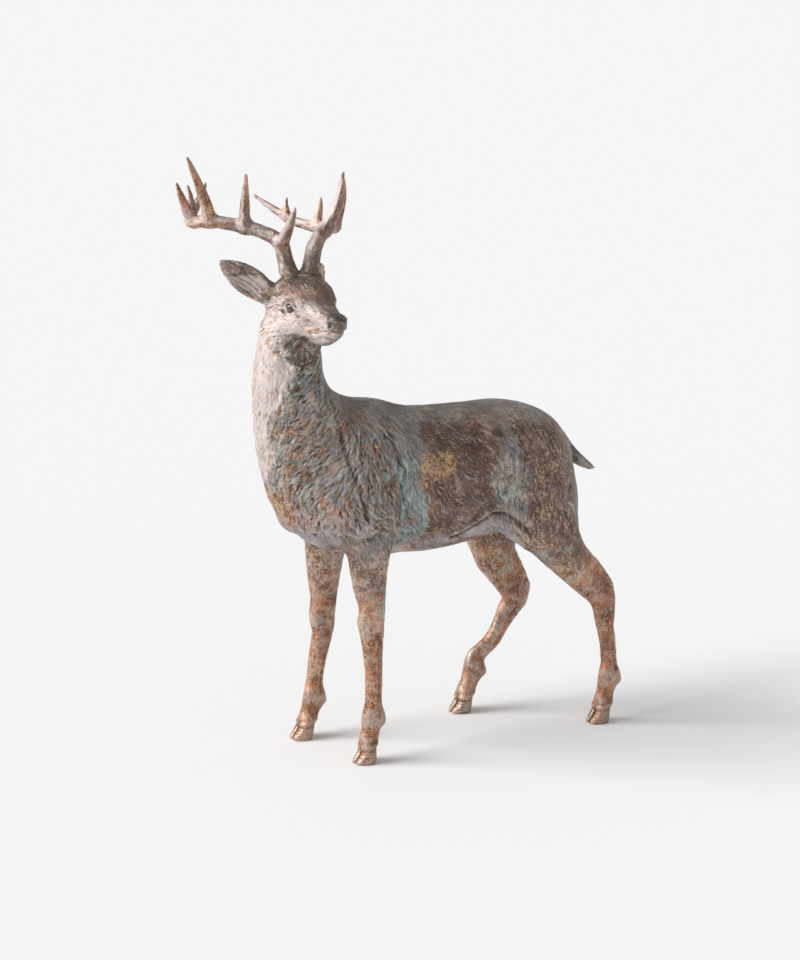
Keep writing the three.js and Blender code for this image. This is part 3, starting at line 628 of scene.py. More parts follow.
# %% Relief of the body
def body_relief(co, normal):
    flow = coat_flow(co, normal)
    across = np.cross(normal, flow)
    z = co[:, 2]
    mane, shoulder, leg, flat = mane_share(co), shoulder_share(co), leg_share(co), smooth_side(co)
    frames, shares = patch_frames(co, flow, across, wave=3.0, start_seed=101)
    hair = strands(frames, shares, width=3.4, length=22, seed=51)
    fine = strands(frames, shares, width=2.2, length=12, seed=57)
    wavy = co + 5 * np.stack([noise(co, 14, k) - 0.5 for k in range(3)], 1)
    clumps = strokes(wavy, flow, across, pitch=11, length=34, width=13, curl=5, seed=11)
    curls = strokes(wavy, flow, across, pitch=5, length=18, width=4.2, curl=2.6, seed=21)
    coat = strokes(co, flow, across, pitch=5.5, length=16, width=4.2, curl=1.0, seed=31)
    # the mane, the shoulder, and the flat side of the neck
    strong = mane * (1 - 0.75 * flat) * (1 - 0.55 * shoulder)
    height = strong * (1.5 * clumps + 1.2 * curls + 0.6 * hair)
    height += shoulder * (0.9 * clumps + 0.8 * curls + 0.5 * hair)
    height += mane * flat * (0.22 * coat + 0.15 * hair)
    # the short coat of the trunk, calmer on the back, and the skin of the legs
    plain = (1 - leg) * (1 - 0.8 * np.maximum(mane, shoulder))
    smooth = ramp(normal[:, 2], 0.5, 0.85)
    height += plain * (1 - 0.6 * smooth) * (0.22 * coat + 0.18 * hair + 0.2 * fine)
    dents = 0.7 * (noise(co, 7, 5) - 0.5) + 0.3 * (noise(co, 3, 6) - 0.5)
    height += leg * ramp(z, 20, 30) * (0.12 * fine + dents)
    # the hem of the mane, and the deeper locks at the throat
    hem = mane_hem(co)
    height += 2.0 * mane * ramp(z, hem, hem + 4) * ramp(z, hem + 24, hem + 9) * (1 - shoulder)
    throat = ramp(z, 352, 385) * (1 - flat) * mane
    height += throat * (1.6 * clumps + 1.5 * (noise(co, 11, 8) - 0.5))
    for valley, width, depth in VALLEYS:
        height -= depth * side_groove(co, valley, width)
    lip = np.array(FLANK_FOLD) + (3, 8)  # the skin bulges over the fold
    height += -2.6 * side_groove(co, FLANK_FOLD, 2.8) + 1.5 * side_groove(co, lip, 5)
    height += leg_form(co, normal)
    print("body: relief from", round(float(height.min()), 2), "to", round(float(height.max()), 2), "mm")
    return height - 0.5


# %% [markdown]
# The modelling is kept inside the imported model's box, and each piece is thinned to a set number of
# triangles. A model by a machine is finished by machine rules: nothing may stand out past the imported
# model's box, and the triangle count stays in bounds. Decimation drops triangles where the surface is flat
# and keeps them in the hair.

# %% Modelling and thinning
LOWEST, HIGHEST = np.array(cad_box) * 1000 - ORIGIN
LOWEST[2] = -10  # the soles go down through the floor, where the saw cuts them flat
MARGIN = 0.3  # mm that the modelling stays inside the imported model's box


def sculpt(mesh, relief):
    co, normal = points_of(mesh), normals_of(mesh)
    moved = co + normal * relief(co, normal)[:, None]
    set_points(mesh, np.clip(moved, LOWEST + MARGIN, HIGHEST - MARGIN))
    return mesh


def thinned(mesh, faces):
    mesh = applied(mesh, "TRIANGULATE")
    if len(mesh.polygons) > faces:
        mesh = applied(mesh, "DECIMATE", ratio=faces / len(mesh.polygons))
    return mesh


print("the modelling stays between", np.round(LOWEST), "and", np.round(HIGHEST))

# %% [markdown]
# The patina needs to know the form. Dirt stays in hollows and a cloth reaches only the ridges, so each point
# stores how far it stands above the skin around it, the lie of its hair, and how much of each patina and of
# each painted highlight, sheen and underlight it gets.

# %% What the finish reads at each point
FINE_ROUNDS, BROAD_ROUNDS = 4, 16  # smoothing rounds for the skin around a hair, and around a lock


def height_above(co, normal, edges, rounds):
    """How far each point stands above (+) or below (-) the smoothed skin, in mm."""
    return ((co - relax(co, edges, rounds)) * normal).sum(1)


def casting(name, mesh, flow_rule, regions, wave, seed):
    """Hangs the finished mesh on its casting, with what its finish needs at each point."""
    mesh.name = name
    co, normal, edges = points_of(mesh), normals_of(mesh), edges_of(mesh)
    flow = flow_rule(co, normal)
    frames, shares = patch_frames(co, flow, np.cross(normal, flow), wave, seed)
    for letter, values in zip("abc", frames):
        set_attribute(mesh, "hair_" + letter, values)
    set_attribute(mesh, "hair_share", shares)
    set_attribute(mesh, "ridge", height_above(co, normal, edges, FINE_ROUNDS))
    set_attribute(mesh, "crest", height_above(co, normal, edges, BROAD_ROUNDS))
    for key, values in regions(co, normal).items():
        set_attribute(mesh, key, np.broadcast_to(np.clip(values, 0, 1), len(co)))
    mesh.polygons.foreach_set("use_smooth", np.ones(len(mesh.polygons), bool))
    mesh.set_sharp_from_angle(angle=math.radians(70))  # the sawn edges stay sharp
    mesh.materials.clear()
    piece = bpy.data.objects.new(name, mesh)
    scene.collection.objects.link(piece)
    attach(piece, "root")
    print(name, len(mesh.polygons), "triangles")
    return piece


# %% [markdown]
# The body is modelled a little past the neck seam, with the head welded on, and then sawn at the seam and at
# the floor. That gives the chest and the neck one skin, and four soles that stand flat.

# %% Body casting
BODY_SPARE = 18  # mm of neck above the seam that is modelled and then sawn off
body_blank = blank(["body", "head"], voxel=2.2, rounds=60,
                   crop=[half_space(NECK_SEAM + BODY_SPARE, 1, NECK_TILT)])
body_mesh = thinned(sculpt(body_blank, body_relief), faces=192_000)
body_mesh = sawn(body_mesh, [half_space(NECK_SEAM - GAP / 2 * STEEP, 1, NECK_TILT), half_space(0, -1)])
print("body:", len(body_mesh.polygons), "triangles")

# %% [markdown]
# The founder heats one spot after another and brushes salts on, so each patina lies in patches. Noise moves
# the edges of these patches about. A value of 1 means that the patina covers, and 0.3 that it breaks up.
# Three of the marks are partly painted light: the pale side of the neck where the lamp falls is a painted
# highlight, the grey on the up-facing back a painted sheen, and the lilac under the belly a painted
# underlight from the floor.

# %% Patches of patina on the body
def warped(co, reach, size, seed):
    """The points moved about by smooth noise, which gives the edge of a patch of patina its wander."""
    return co + reach * 2 * np.stack([noise(co, size, seed + k) - 0.5 for k in range(3)], 1)


def seam_line(off):
    """The dark line where two castings meet."""
    return ramp(np.abs(off), 1.3, 0.5)


def body_regions(co, normal):
    """Where each patina, painted highlight, painted sheen and painted underlight lies, from 0 to 1, and how
    strongly the coat shows.
    """
    edge = warped(co, 13, 20, 201) + warped(co, 4, 6, 231) - co
    x, y, z = edge.T
    top, under = ramp(normal[:, 2], 0.55, 0.9), ramp(-normal[:, 2], 0.3, 0.8)
    rear = ramp(normal[:, 0], 0.3, 0.75)
    leg, mane, flat = leg_share(edge), mane_share(co), smooth_side(edge)
    shoulder, arc = shoulder_share(edge), around_neck(co)
    trunk, hoof, shank = 1 - leg, ramp(co[:, 2], 18, 15), ramp(z, 205, 150)
    throat = mane * ramp(z, 365, 400) * (1 - flat)
    orange = ramp(arc, -26, -6) * ramp(arc, 48, 26) * band(z, 244, 272, 13) * mane
    haunch = band(x, 168, 194, 10) * band(z, 255, 308, 16) * trunk
    green = band(x, 54, 84, 11) * ramp(z, 345, 305) * trunk + 0.3 * haunch + 0.3 * band(z, 160, 185, 12) * leg
    loin = band(x, 88, 108, 16) * band(z, 286, 310, 16) * trunk
    belly = np.interp(co[:, 0], [90, 130, 170, 200], [214, 219, 238, 222])
    strip = ramp(co[:, 2] - belly, 0, -5) * trunk * band(x, 70, 200, 10)
    ribs = (band(x, 92, 168, 10) + band(x, 198, 258, 10)) * (1 - top) * (1 - rear)
    ribs = (ribs + 0.5 * band(x, 42, 54, 5)) * trunk
    tail = ramp(co[:, 0], 270, 280) * ramp(z, 230, 245)
    locks = mane * (1 - flat)
    # the grey on the up-facing back is partly slate patina and partly a painted sheen of the bright room
    # above
    back, rump = 0.9 * top * trunk * ramp(x, -10, 30), 0.8 * rear * trunk * ramp(x, 230, 260)
    grey = [back, rump, haunch, 0.55 * shoulder, 0.6 * throat, 0.35 * green]
    curly = 0.34 * np.maximum(mane, shoulder) * (1 - 0.8 * flat)
    curly = curly + 0.35 * np.maximum(green, haunch) * (1 - mane)
    shadow = 0.45 * mane * band(z, 236, 262, 8)
    return {
        # pale: rubbed patina on the stretched side of the neck, which is the side the lamp lights, so it is
        # partly a painted highlight
        "pale_and_lit": flat * ramp(z, 256, 304),
        "copper": leg * shank + 0.9 * orange + 0.25 * locks,
        "rust": ribs * (1 - under) * (1 - strip) + leg * (1 - shank),
        "verdigris": green + 0.35 * throat + 0.42 * locks * (1 - 0.5 * shoulder) * (1 - orange),
        "gilt": 0.5 * leg + 0.9 * loin + 0.4 * band(x, 200, 250, 15) * trunk + 0.3 * orange + 0.3 * locks,
        "wash": loin * 0.72 + 0.4 * orange + 0.25 * band(x, 204, 216, 6) * band(z, 262, 312, 10) * trunk,
        "slate_and_sheen": np.maximum.reduce(grey) * (1 - tail),
        # lilac: lavender patina on the legs and the belly strip, and on the down-facing belly a painted
        # underlight from the floor
        "lilac_and_underlight": under * trunk + 0.9 * strip + shadow + 0.35 * leg * (1 - shank) * ramp(x, 90, 60)
        + leg * (0.03 + 0.3 * ramp(normal[:, 0], 0.4, 0.8)),
        "dark": 0.3 * throat + 0.1 * shoulder + 0.2 * hoof + tail + seam_line(above_neck_seam(co)),
        "coat": trunk * (0.66 - 0.3 * top + curly) + 0.1 * leg,
    }


body = casting("deer_body", body_mesh, coat_flow, body_regions, wave=3.0, seed=101)
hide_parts("body")

# %% [markdown]
# The head is small and the eye looks there first, so its net is finer and its features are drawn as lines
# in mm. The hair runs from the nose back over the cheeks and up the ears.

# %% Places on the head
FACE = -26.0  # x of the head's middle plane; the muzzle points to -y
EYE = np.array([19.5, -19.5, 468.0])  # out from the middle plane, y, z
EYE_ROUND = (5.2, 4.0)  # half its width and half its height
EYE_TURN = 32  # degrees that the eye looks forward of straight out


def head_flow(co, normal):
    guides = [(-26, -80, 462, 0, 1, 0.1), (-26, -40, 480, 0, 1, 0.3), (-26, 0, 496, 0, 1, 0),
              (-48, -20, 460, -0.2, 0.9, 0), (-4, -20, 460, 0.2, 0.9, 0), (-26, -30, 430, 0, 0.8, -0.4),
              (-80, 18, 494, -0.75, 0.3, 0.6), (12, 30, 488, 0.5, 0.8, 0.2), (-50, 10, 440, 0, 0.4, -0.9),
              (-2, 10, 440, 0, 0.4, -0.9), (-48, -2, 450, -0.1, 0.7, -0.7), (-4, -2, 450, 0.1, 0.7, -0.7)]
    return flow_from(guides, co, normal)


print("the left eye is at", EYE + (FACE, 0, 0))

# %% [markdown]
# The eye is an oval that looks a little forward. The sculptor rolled a lid over and under it, cut a fold
# along each lid and sank a tear pit towards the nose. The ball itself is left smooth.

# %% Eyes
def oval(width, height, start, stop):
    """Part of an oval round the eye, in the eye's own plane."""
    turns = np.radians(np.linspace(start, stop, 13))
    return [(a, b, 0) for a, b in zip(width * np.cos(turns), height * np.sin(turns))]


def eye_plane(co, normal, way):
    """Places in the plane of one eye: mm back from it, mm up, and 1 on that side of the head."""
    turn = math.radians(EYE_TURN)
    from_eye = co - (FACE - way * EYE[0], EYE[1], EYE[2])
    back = from_eye[:, 0] * -way * math.sin(turn) + from_eye[:, 1] * math.cos(turn)
    facing = normal[:, 0] * -way * math.cos(turn) - normal[:, 1] * math.sin(turn)
    here = ramp(facing, 0.1, 0.5) * (np.linalg.norm(from_eye, axis=1) < 18)
    return np.stack([back, from_eye[:, 2], 0 * back], 1), here


# line, width and height in mm: raised if above 0, cut in if below
LID_LINES = [
    (oval(7.0, 5.6, 10, 170), 1.5, 1.5),  # upper lid
    (oval(9.8, 8.4, 15, 165), 1.3, -0.9),  # fold over the lid
    (oval(6.6, 5.0, 195, 345), 1.2, 0.8),  # lower lid
    (oval(9.4, 7.6, 200, 335), 1.3, -0.6),  # fold under the lid
    (oval(*EYE_ROUND, 0, 360), 0.7, -1.0),  # edge of the eyeball
    ([(-5.0, -1.2, 0), (-8.5, -4.0, 0), (-12.5, -6.5, 0)], 1.3, -1.2),  # tear pit, towards the nose
]


def eyeballs(co, normal, outer, inner):
    """1 on both eyeballs, falling to 0 between these two sizes of their oval."""
    ball = np.zeros(len(co))
    for way in (1, -1):
        place, here = eye_plane(co, normal, way)
        size = np.hypot(place[:, 0] / EYE_ROUND[0], place[:, 1] / EYE_ROUND[1])
        ball = np.maximum(ball, here * ramp(size, outer, inner))
    return ball


def eyelids(co, normal):
    height = np.zeros(len(co))
    for way in (1, -1):
        place, here = eye_plane(co, normal, way)
        for line, width, lift in LID_LINES:
            height += lift * here * groove(place, line, width)
    return height


# %% [markdown]
# The muzzle is bare and wrinkled, with a comma for each nostril and a long mouth line. Inside the ears run
# wavy ridges of hair, and a rolled rim closes them off.

# %% Muzzle, cheeks and ears
# width and height in mm, then points: out from the middle plane, y, z
FACE_LINES = [
    (1.0, -1.6, (13, -52, 446.5), (11.5, -62, 449.5), (9.5, -72, 452), (6, -82, 453), (0, -87, 453)),  # mouth
    (1.6, 0.6, (12, -52, 444), (10.5, -62, 446.5), (8.5, -72, 448.5), (5, -80, 449.5)),  # lower lip
    (1.4, -2.2, (6.5, -87, 460), (9.4, -84.5, 461.6), (10.2, -81.5, 459.6), (9.2, -79, 457.5)),  # nostril
    (0.9, -0.7, (10, -77, 466), (11.5, -76, 461), (11, -75.5, 456)),  # wrinkles of the muzzle
    (0.9, -0.6, (11, -73, 467), (12.6, -72, 462), (12, -71.5, 457)),
    (0.9, -0.45, (12, -69, 468), (13.6, -68, 463), (13, -67.5, 458)),
    (2.2, -0.9, (19, -22, 452), (17, -36, 451), (15, -50, 454), (13.5, -62, 457)),  # hollow of the cheek
    (2.5, 0.8, (20, -26, 446), (17, -40, 443), (14, -50, 442)),  # jaw muscle
    (2.4, -0.7, (21, 0, 452), (22, -10, 444), (19, -22, 438)),  # behind the jaw
    (2.0, 0.6, (11, -28, 483), (9, -42, 477), (6, -58, 471)),  # ridge beside the bridge of the nose
]
EARS = [  # root, tip, and the way the hollow faces
    ((-50, 8, 472), (-102, 26, 511), (-6, -16, 3)),
    ((-2, 10, 482), (23, 50, 493), (14, -8, 4)),
]


def ear_form(co, normal):
    """Height in mm of the wavy ridges in the ears, then 1 inside the ears, then 1 on their rims."""
    height, inside, rim = np.zeros(len(co)), np.zeros(len(co)), np.zeros(len(co))
    for root, tip, front in EARS:
        root, tip, front = (np.array(v, float) for v in (root, tip, front))
        axis = tip - root
        t = ((co - root) @ axis) / (axis @ axis)
        side = np.cross(unit(axis), unit(front))
        off = (co - root - t[:, None] * axis) @ side
        facing = normal @ unit(front)
        here = band(t, 0.28, 1.0, 0.08) * (np.linalg.norm(co - root - t[:, None] * axis, axis=1) < 17)
        hollow = here * ramp(facing, -0.3, 0.35) * ramp(np.abs(off), 12, 7) * ramp(t, 0.95, 0.8)
        wave = np.sin(off * 1.5 + 1.6 * np.sin(t * 9) + 2.5 * noise(co, 9, 33))
        height += 0.4 * wave * hollow
        inside = np.maximum(inside, hollow)
        rim = np.maximum(rim, here * (1 - hollow) * ramp(np.abs(facing), 0.9, 0.5))
    return height, inside, rim


def throat_share(co):
    """The start of the mane, under and behind the jaw."""
    return ramp(co[:, 2] - 0.22 * (co[:, 1] + 30), 447, 437) * ramp(co[:, 1], -58, -44)


print(len(FACE_LINES), "lines on each side of the face")

# %% [markdown]
# The hair of the face is a tenth of a millimetre high, or a little more, and the muzzle has none. Longer
# locks begin under the jaw, where the mane starts.

# %% Relief of the head
def head_relief(co, normal):
    flow = head_flow(co, normal)
    across = np.cross(normal, flow)
    y, z = co[:, 1], co[:, 2]
    frames, shares = patch_frames(co, flow, across, wave=1.2, start_seed=201)
    muzzle = ramp(y, -66, -78)
    ears, inside, _ = ear_form(co, normal)
    short = strokes(co, flow, across, pitch=3.6, length=9, width=2.8, curl=0.5, seed=61)
    coat = 0.13 * short + 0.1 * strands(frames, shares, width=2.0, length=9, seed=67)
    tuft = ramp(z, 478, 492) * ramp(normal[:, 2], 0.0, 0.5)
    height = coat * (1 - muzzle) * (1 - inside) * (1 + 3 * tuft)
    height += 0.25 * (noise(co, 2.2, 35) - 0.5) * muzzle + 0.35 * (noise(co, 9, 36) - 0.5)
    long = strokes(co, flow, across, pitch=5, length=15, width=5, curl=2.0, seed=71)
    height += throat_share(co) * (1.3 * long + 0.4 * noise(co, 8, 9))
    ball = eyeballs(co, normal, 1.0, 0.75)
    height *= 1 - ball
    for width, lift, *points in FACE_LINES:
        left, right = ([(FACE + way * out, y, z) for out, y, z in points] for way in (1, -1))
        height += lift * np.maximum(groove(co, right, width), groove(co, left, width))
    return height + eyelids(co, normal) + ears + 0.5 * ball - 0.15


# %% [markdown]
# The head is modelled with a stub of the neck and of the antlers on it, and then sawn at both seams.

# %% Head casting
HEAD_SPARE = (16, 18)  # mm modelled past the neck seam, and past the crown seam
CROWN_SAW = (66, 60, 40)  # mm, a saw block over the crown only, because the ears rise past the seam
head_blank = blank(["body", "head", "antlers"], voxel=1.3, rounds=12, crop=[
    half_space(NECK_SEAM - HEAD_SPARE[0], -1, NECK_TILT), half_space(CROWN_SEAM + HEAD_SPARE[1], 1)])
head_mesh = thinned(sculpt(head_blank, head_relief), faces=150_000)
head_mesh = sawn(head_mesh, [
    half_space(NECK_SEAM + GAP / 2 * STEEP, -1, NECK_TILT),
    ((FACE, 6, CROWN_SEAM - GAP / 2 + CROWN_SAW[2] / 2), CROWN_SAW, 0.0),
])
print("head:", len(head_mesh.polygons), "triangles")

# %% [markdown]
# The cheeks are rubbed pale on both sides, and the side that faces the lamp is painted paler still, a painted
# highlight; the undersides turn lilac, partly patina and partly a painted underlight. The bridge of the nose
# and the nostrils stay brown and slate, and the eyes are left almost black, so that the face reads from
# across a room.

# %% Patches of patina on the head
def head_regions(co, normal):
    """Where each patina, painted highlight and painted underlight lies, from 0 to 1, and how strongly the
    coat shows.
    """
    edge = warped(co, 4, 9, 301)
    x, y, z = edge.T
    _, inside, rim = ear_form(co, normal)
    cheek = ramp(np.abs(normal[:, 0]), 0.2, 0.75) * ramp(z, 490, 470)
    cheek = cheek + ramp(-normal[:, 1], 0.2, 0.8) * ramp(z, 466, 452)
    bridge = ramp(normal[:, 2], 0.05, 0.6) * ramp(z, 452, 466)
    nose = ramp(y, -73, -78) * ramp(z, 452, 456)
    ball = eyeballs(co, normal, 1.05, 0.8)
    throat = throat_share(edge)
    # the side that faces the lamp is painted paler: a painted highlight over the rubbed cheeks
    light_side = 0.6 + 0.4 * ramp(-normal[:, 0], -0.2, 0.5)
    pale_and_lit = np.clip(cheek, 0, 1) * (1 - nose) * (1 - ball) * (1 - np.maximum(inside, rim)) * (1 - 0.6 * bridge)
    pale_and_lit = 0.78 * pale_and_lit * (1 - 0.95 * throat * ramp(x, -60, -46)) * light_side + 0.9 * inside
    return {
        "pale_and_lit": pale_and_lit,
        "copper": rim + 0.1 * (1 - pale_and_lit),
        "rust": 0.5 * bridge + 0.3 * (1 - pale_and_lit),
        "verdigris": 0.5 * nose + 0.4 * throat + 0.5 * inside * ramp(normal[:, 2], -0.1, 0.4),
        "gilt": 0.3 * rim + 0.2,
        "wash": 0.0,
        "slate_and_sheen": 0.45 * bridge + 0.6 * nose + 0.6 * throat,
        # lilac under the jaw and chin: partly patina, partly a painted underlight from the floor
        "lilac_and_underlight": 0.6 * ramp(-normal[:, 2], 0.3, 0.8),
        "dark": ball + 0.62 * nose + 0.3 * bridge + 0.3 * throat + seam_line(above_neck_seam(co)),
        "coat": 0.5 + 0.4 * throat * ramp(x, -54, -40),
    }


head = casting("deer_head", head_mesh, head_flow, head_regions, wave=1.2, seed=201)
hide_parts("head")

# %% [markdown]
# Antlers have long shallow grooves that follow every beam and tine, where blood vessels ran under the velvet.
# No guides are needed: the normals round a tine never face along it, and that gives its direction.

# %% Lie of the grooves
def antler_flow(co, normal):
    """Along each tine: the direction that the normals around a point never face."""
    reach = 7.0  # mm, about the width of a tine
    seeds, keys = scatter(co, reach, 7)
    cell = np.searchsorted(keys, cell_key(np.floor(co / reach)))
    total = np.zeros((len(seeds), 3, 3))
    for row, column in np.ndindex(3, 3):
        total[:, row, column] = np.bincount(cell, normal[:, row] * normal[:, column], len(seeds))
    around = np.zeros((len(co), 3, 3))
    for found in nearby(co, keys, reach):
        gap = np.linalg.norm(co - co[seeds[found]], axis=1)
        weight = np.where(found >= 0, np.exp(-((gap / reach) ** 2)), 0)
        around += weight[:, None, None] * total[found]
    axis = np.linalg.eigh(around)[1][:, :, 0]
    axis *= np.where(axis[:, 2] < 0, -1, 1)[:, None]
    return unit(axis - (axis * normal).sum(1, keepdims=True) * normal)


# %% [markdown]
# The wax of an antler is combed along each tine. That leaves strokes less than half a millimetre high.

# %% Antler casting
ANTLER_SPARE = 10  # mm of crown below the seam that is modelled and then sawn off


def antler_relief(co, normal):
    flow = antler_flow(co, normal)
    return 0.4 * strokes(co, flow, np.cross(normal, flow), pitch=6, length=20, width=2.6, curl=0.8, seed=71)


antler_blank = blank(["head", "antlers"], voxel=1.3, rounds=14,
                     crop=[half_space(CROWN_SEAM - ANTLER_SPARE, -1)])
antler_mesh = thinned(sculpt(antler_blank, antler_relief), faces=100_000)
antler_mesh = sawn(antler_mesh, [half_space(CROWN_SEAM + GAP / 2, -1)])
print("antlers:", len(antler_mesh.polygons), "triangles")

# %% [markdown]
# The tips are handled most, so they are coppery and bright, and the roots stay dark and a little green. The
# sides that face the lamp are painted pale, a painted highlight, and the undersides turn lilac, partly patina
# and partly a painted underlight.

# %% Patches of patina on the antlers
CROWN = (-26, 4, 500)  # between the two roots


def antler_regions(co, normal):
    """Where each patina, painted highlight and painted underlight lies, from 0 to 1, and how strongly the
    coat shows.
    """
    away = np.linalg.norm(co - CROWN, axis=1)
    tips, root = ramp(away, 70, 120), ramp(co[:, 2], 528, 508)
    # lit: the sides that face the lamp; the pale mark here is a painted highlight
    lit = ramp(-0.8 * normal[:, 0] + 0.5 * normal[:, 2], 0.15, 0.8)
    return {
        "pale_and_lit": lit * (1 - 0.5 * root),
        "copper": 0.45 + 0.55 * tips,
        "rust": 0.35,
        "verdigris": 0.1 * root,
        "gilt": 0.25 + 0.2 * tips,
        "wash": 0.0,
        "slate_and_sheen": 0.6 - 0.5 * tips,
        # lilac on the down-facing sides: partly patina, partly a painted underlight
        "lilac_and_underlight": 0.35 * ramp(-normal[:, 2], 0.2, 0.8),
        "dark": 0.3 * root,
        "coat": 0.4,
    }


antlers = casting("deer_antlers", antler_mesh, antler_flow, antler_regions, wave=0.8, seed=301)
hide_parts("antlers")

# %% [markdown]
# All three pieces are patinated cast bronze. The founder heats the casting with a torch and brushes salts on:
# iron gives browns and rust reds, copper gives greens and blues, tin and titanium give greys. Then the high
# places are rubbed back with a cloth and waxed. The eye sees soft satin metal, mottled like lichen, dark in
# the hollows and pale on the worn ridges.

# %% Nodes and patterns
def srgb(code):
    """A hex colour as linear RGBA."""
    parts = [int(code[i:i + 2], 16) / 255 for i in (1, 3, 5)]
    return tuple(p / 12.92 if p <= 0.04045 else ((p + 0.055) / 1.055) ** 2.4 for p in parts) + (1.0,)


def add(tree, kind, sockets=(), out=0, stops=(), **settings):
    """Adds a node with its settings. Sockets gives an input, by name or number, a plain value or the output
    that feeds it, and stops gives a colour ramp its colours. Returns the output asked for."""
    node = tree.nodes.new("ShaderNode" + kind)
    for key, value in settings.items():
        setattr(node, key, value)
    for key, value in dict(sockets).items():
        if isinstance(value, bpy.types.NodeSocket):
            tree.links.new(value, node.inputs[key])
        else:
            node.inputs[key].default_value = value
    for _ in stops[2:]:  # a ramp has two stops to begin with
        node.color_ramp.elements.new(0.5)
    for place, code in enumerate(stops):
        stop = node.color_ramp.elements[place]
        stop.position = place / (len(stops) - 1)
        stop.color = srgb(code)
    return node.outputs[out]


def spots(tree, width, detail, seed):
    """Noise from -0.5 to 0.5 in the metal itself, with spots about this many mm wide."""
    place = add(tree, "TexCoord", out="Object")
    moved = add(tree, "VectorMath", {0: place, 1: (seed, seed * 0.7, seed * 1.3)}, operation="ADD")
    settings = {"Vector": moved, "Scale": 500 / width, "Detail": detail, "Roughness": 0.55}
    cloudy = add(tree, "TexNoise", settings, "Fac")
    return add(tree, "Math", {0: cloudy, 1: 0.5}, operation="SUBTRACT")


def hairs(tree, width, length, seed, strength):
    """Streaks round 0 that follow the hair, this many mm wide and long, from the three layers of patches."""
    shares = add(tree, "Attribute", out="Vector", attribute_name="hair_share")
    scale, shift, total = (0.5 / length, 0.5 / width, 1.0), (seed, seed, seed), 0.0
    for layer, letter in enumerate("abc"):
        place = add(tree, "Attribute", out="Vector", attribute_name="hair_" + letter)
        moved = add(tree, "VectorMath", {0: place, 1: scale, 2: shift}, operation="MULTIPLY_ADD")
        settings = {"Vector": moved, "Scale": 1.0, "Detail": 2.0, "Roughness": 0.5}
        streak = add(tree, "TexNoise", settings, "Fac")
        centred = add(tree, "Math", {0: streak, 1: 0.5}, operation="SUBTRACT")
        share = add(tree, "SeparateXYZ", {0: shares}, layer)
        total = add(tree, "Math", {0: centred, 1: share, 2: total}, operation="MULTIPLY_ADD")
    return add(tree, "Math", {0: total, 1: strength}, operation="MULTIPLY")


def weighed(tree, feeds, start, weights):
    """The start value plus each named feed times its weight."""
    total = start
    for key, weight in weights.items():
        total = add(tree, "Math", {0: feeds[key], 1: weight, 2: total}, operation="MULTIPLY_ADD")
    return total


def spread(tree, feeds, weights, low, high, most=1.0):
    """From 0 to most, with soft ends, as the weighed sum goes from low to high."""
    total = weighed(tree, feeds, 0.0, weights)
    settings = {"Value": total, "From Min": low, "From Max": high, "To Max": most}
    return add(tree, "MapRange", settings, "Result", interpolation_type="SMOOTHSTEP")


# %% [markdown]
# The umber ground has many tints, one for each few locks. Over it lie six washes. Each has its own darker and
# lighter streaks along the hair, and breaks up where the sum of its weights is low.

# %% Colours of the patina
SPOTS = {  # width of the spots in mm, detail of the noise, and where in it they lie
    "broad": (30, 2, 0.3), "bloom": (13, 3, 5.9), "cloud": (12, 3, 8.3), "patch": (10, 3, 1.1),
    "pepper": (3.2, 3, 6.1), "fleck": (1.6, 2, 2.3), "grain": (0.8, 1, 3.7),
}
GROUND = ("#463b36", "#9a6047", "#6e655f", "#bb9d74", "#628c99",
          "#90867e", "#aca2b6", "#6d8c87", "#cabaac", "#7f6d62")
# rubbed pale colours; where they lie on the sides that face the lamp they are a painted highlight
RUBBED_AND_LIT = ("#a9826c", "#d6c8c1", "#c6bbbf", "#ddcfc6", "#d9ccc5", "#cfc4c5", "#b9967f", "#ddd2cc")
WASHES = [  # weights, the sums where it begins and is full, its strength, its darker and its lighter streaks
    ({"rust": 0.9, "bloom": 1.6, "pepper": 0.8, "coarse": 1.0}, -0.1, 0.9, 0.92, "#4c3730", "#90705f"),
    ({"copper": 1.15, "broad": 1.2, "patch": 1.1, "pepper": 1.0}, 0.0, 0.8, 0.9, "#5a3626", "#cc8f6a"),
    # slate: grey streaks, which on the up-facing back are a painted sheen
    ({"slate_and_sheen": 0.8, "bloom": 2.0, "coarse": 2.4, "pepper": 0.8}, 0.1, 0.95, 0.8, "#605c59", "#b0aca8"),
    # lilac: lavender streaks, which on the down-facing sides are a painted underlight
    ({"lilac_and_underlight": 0.9, "cloud": 2.4, "patch": 1.2, "fleck": 0.8}, 0.2, 0.9, 0.8, "#8d8489", "#cbc1c6"),
    ({"verdigris": 0.8, "cloud": -2.4, "coarse": 3.0, "fleck": 1.2, "patch": 1.6}, 0.34, 1.25, 0.9,
     "#5f7c7d", "#a9bbb9"),
    ({"wash": 1.0, "pepper": 1.4, "bloom": 1.2}, 0.1, 1.0, 0.7, "#7a5c45", "#b8956d"),
]
MARKS = ("ridge", "crest", "coat", "pale_and_lit", "copper", "rust", "verdigris", "gilt", "wash", "slate_and_sheen", "lilac_and_underlight",
         "dark")
print(len(WASHES), "washes over a ground of", len(GROUND), "tints")
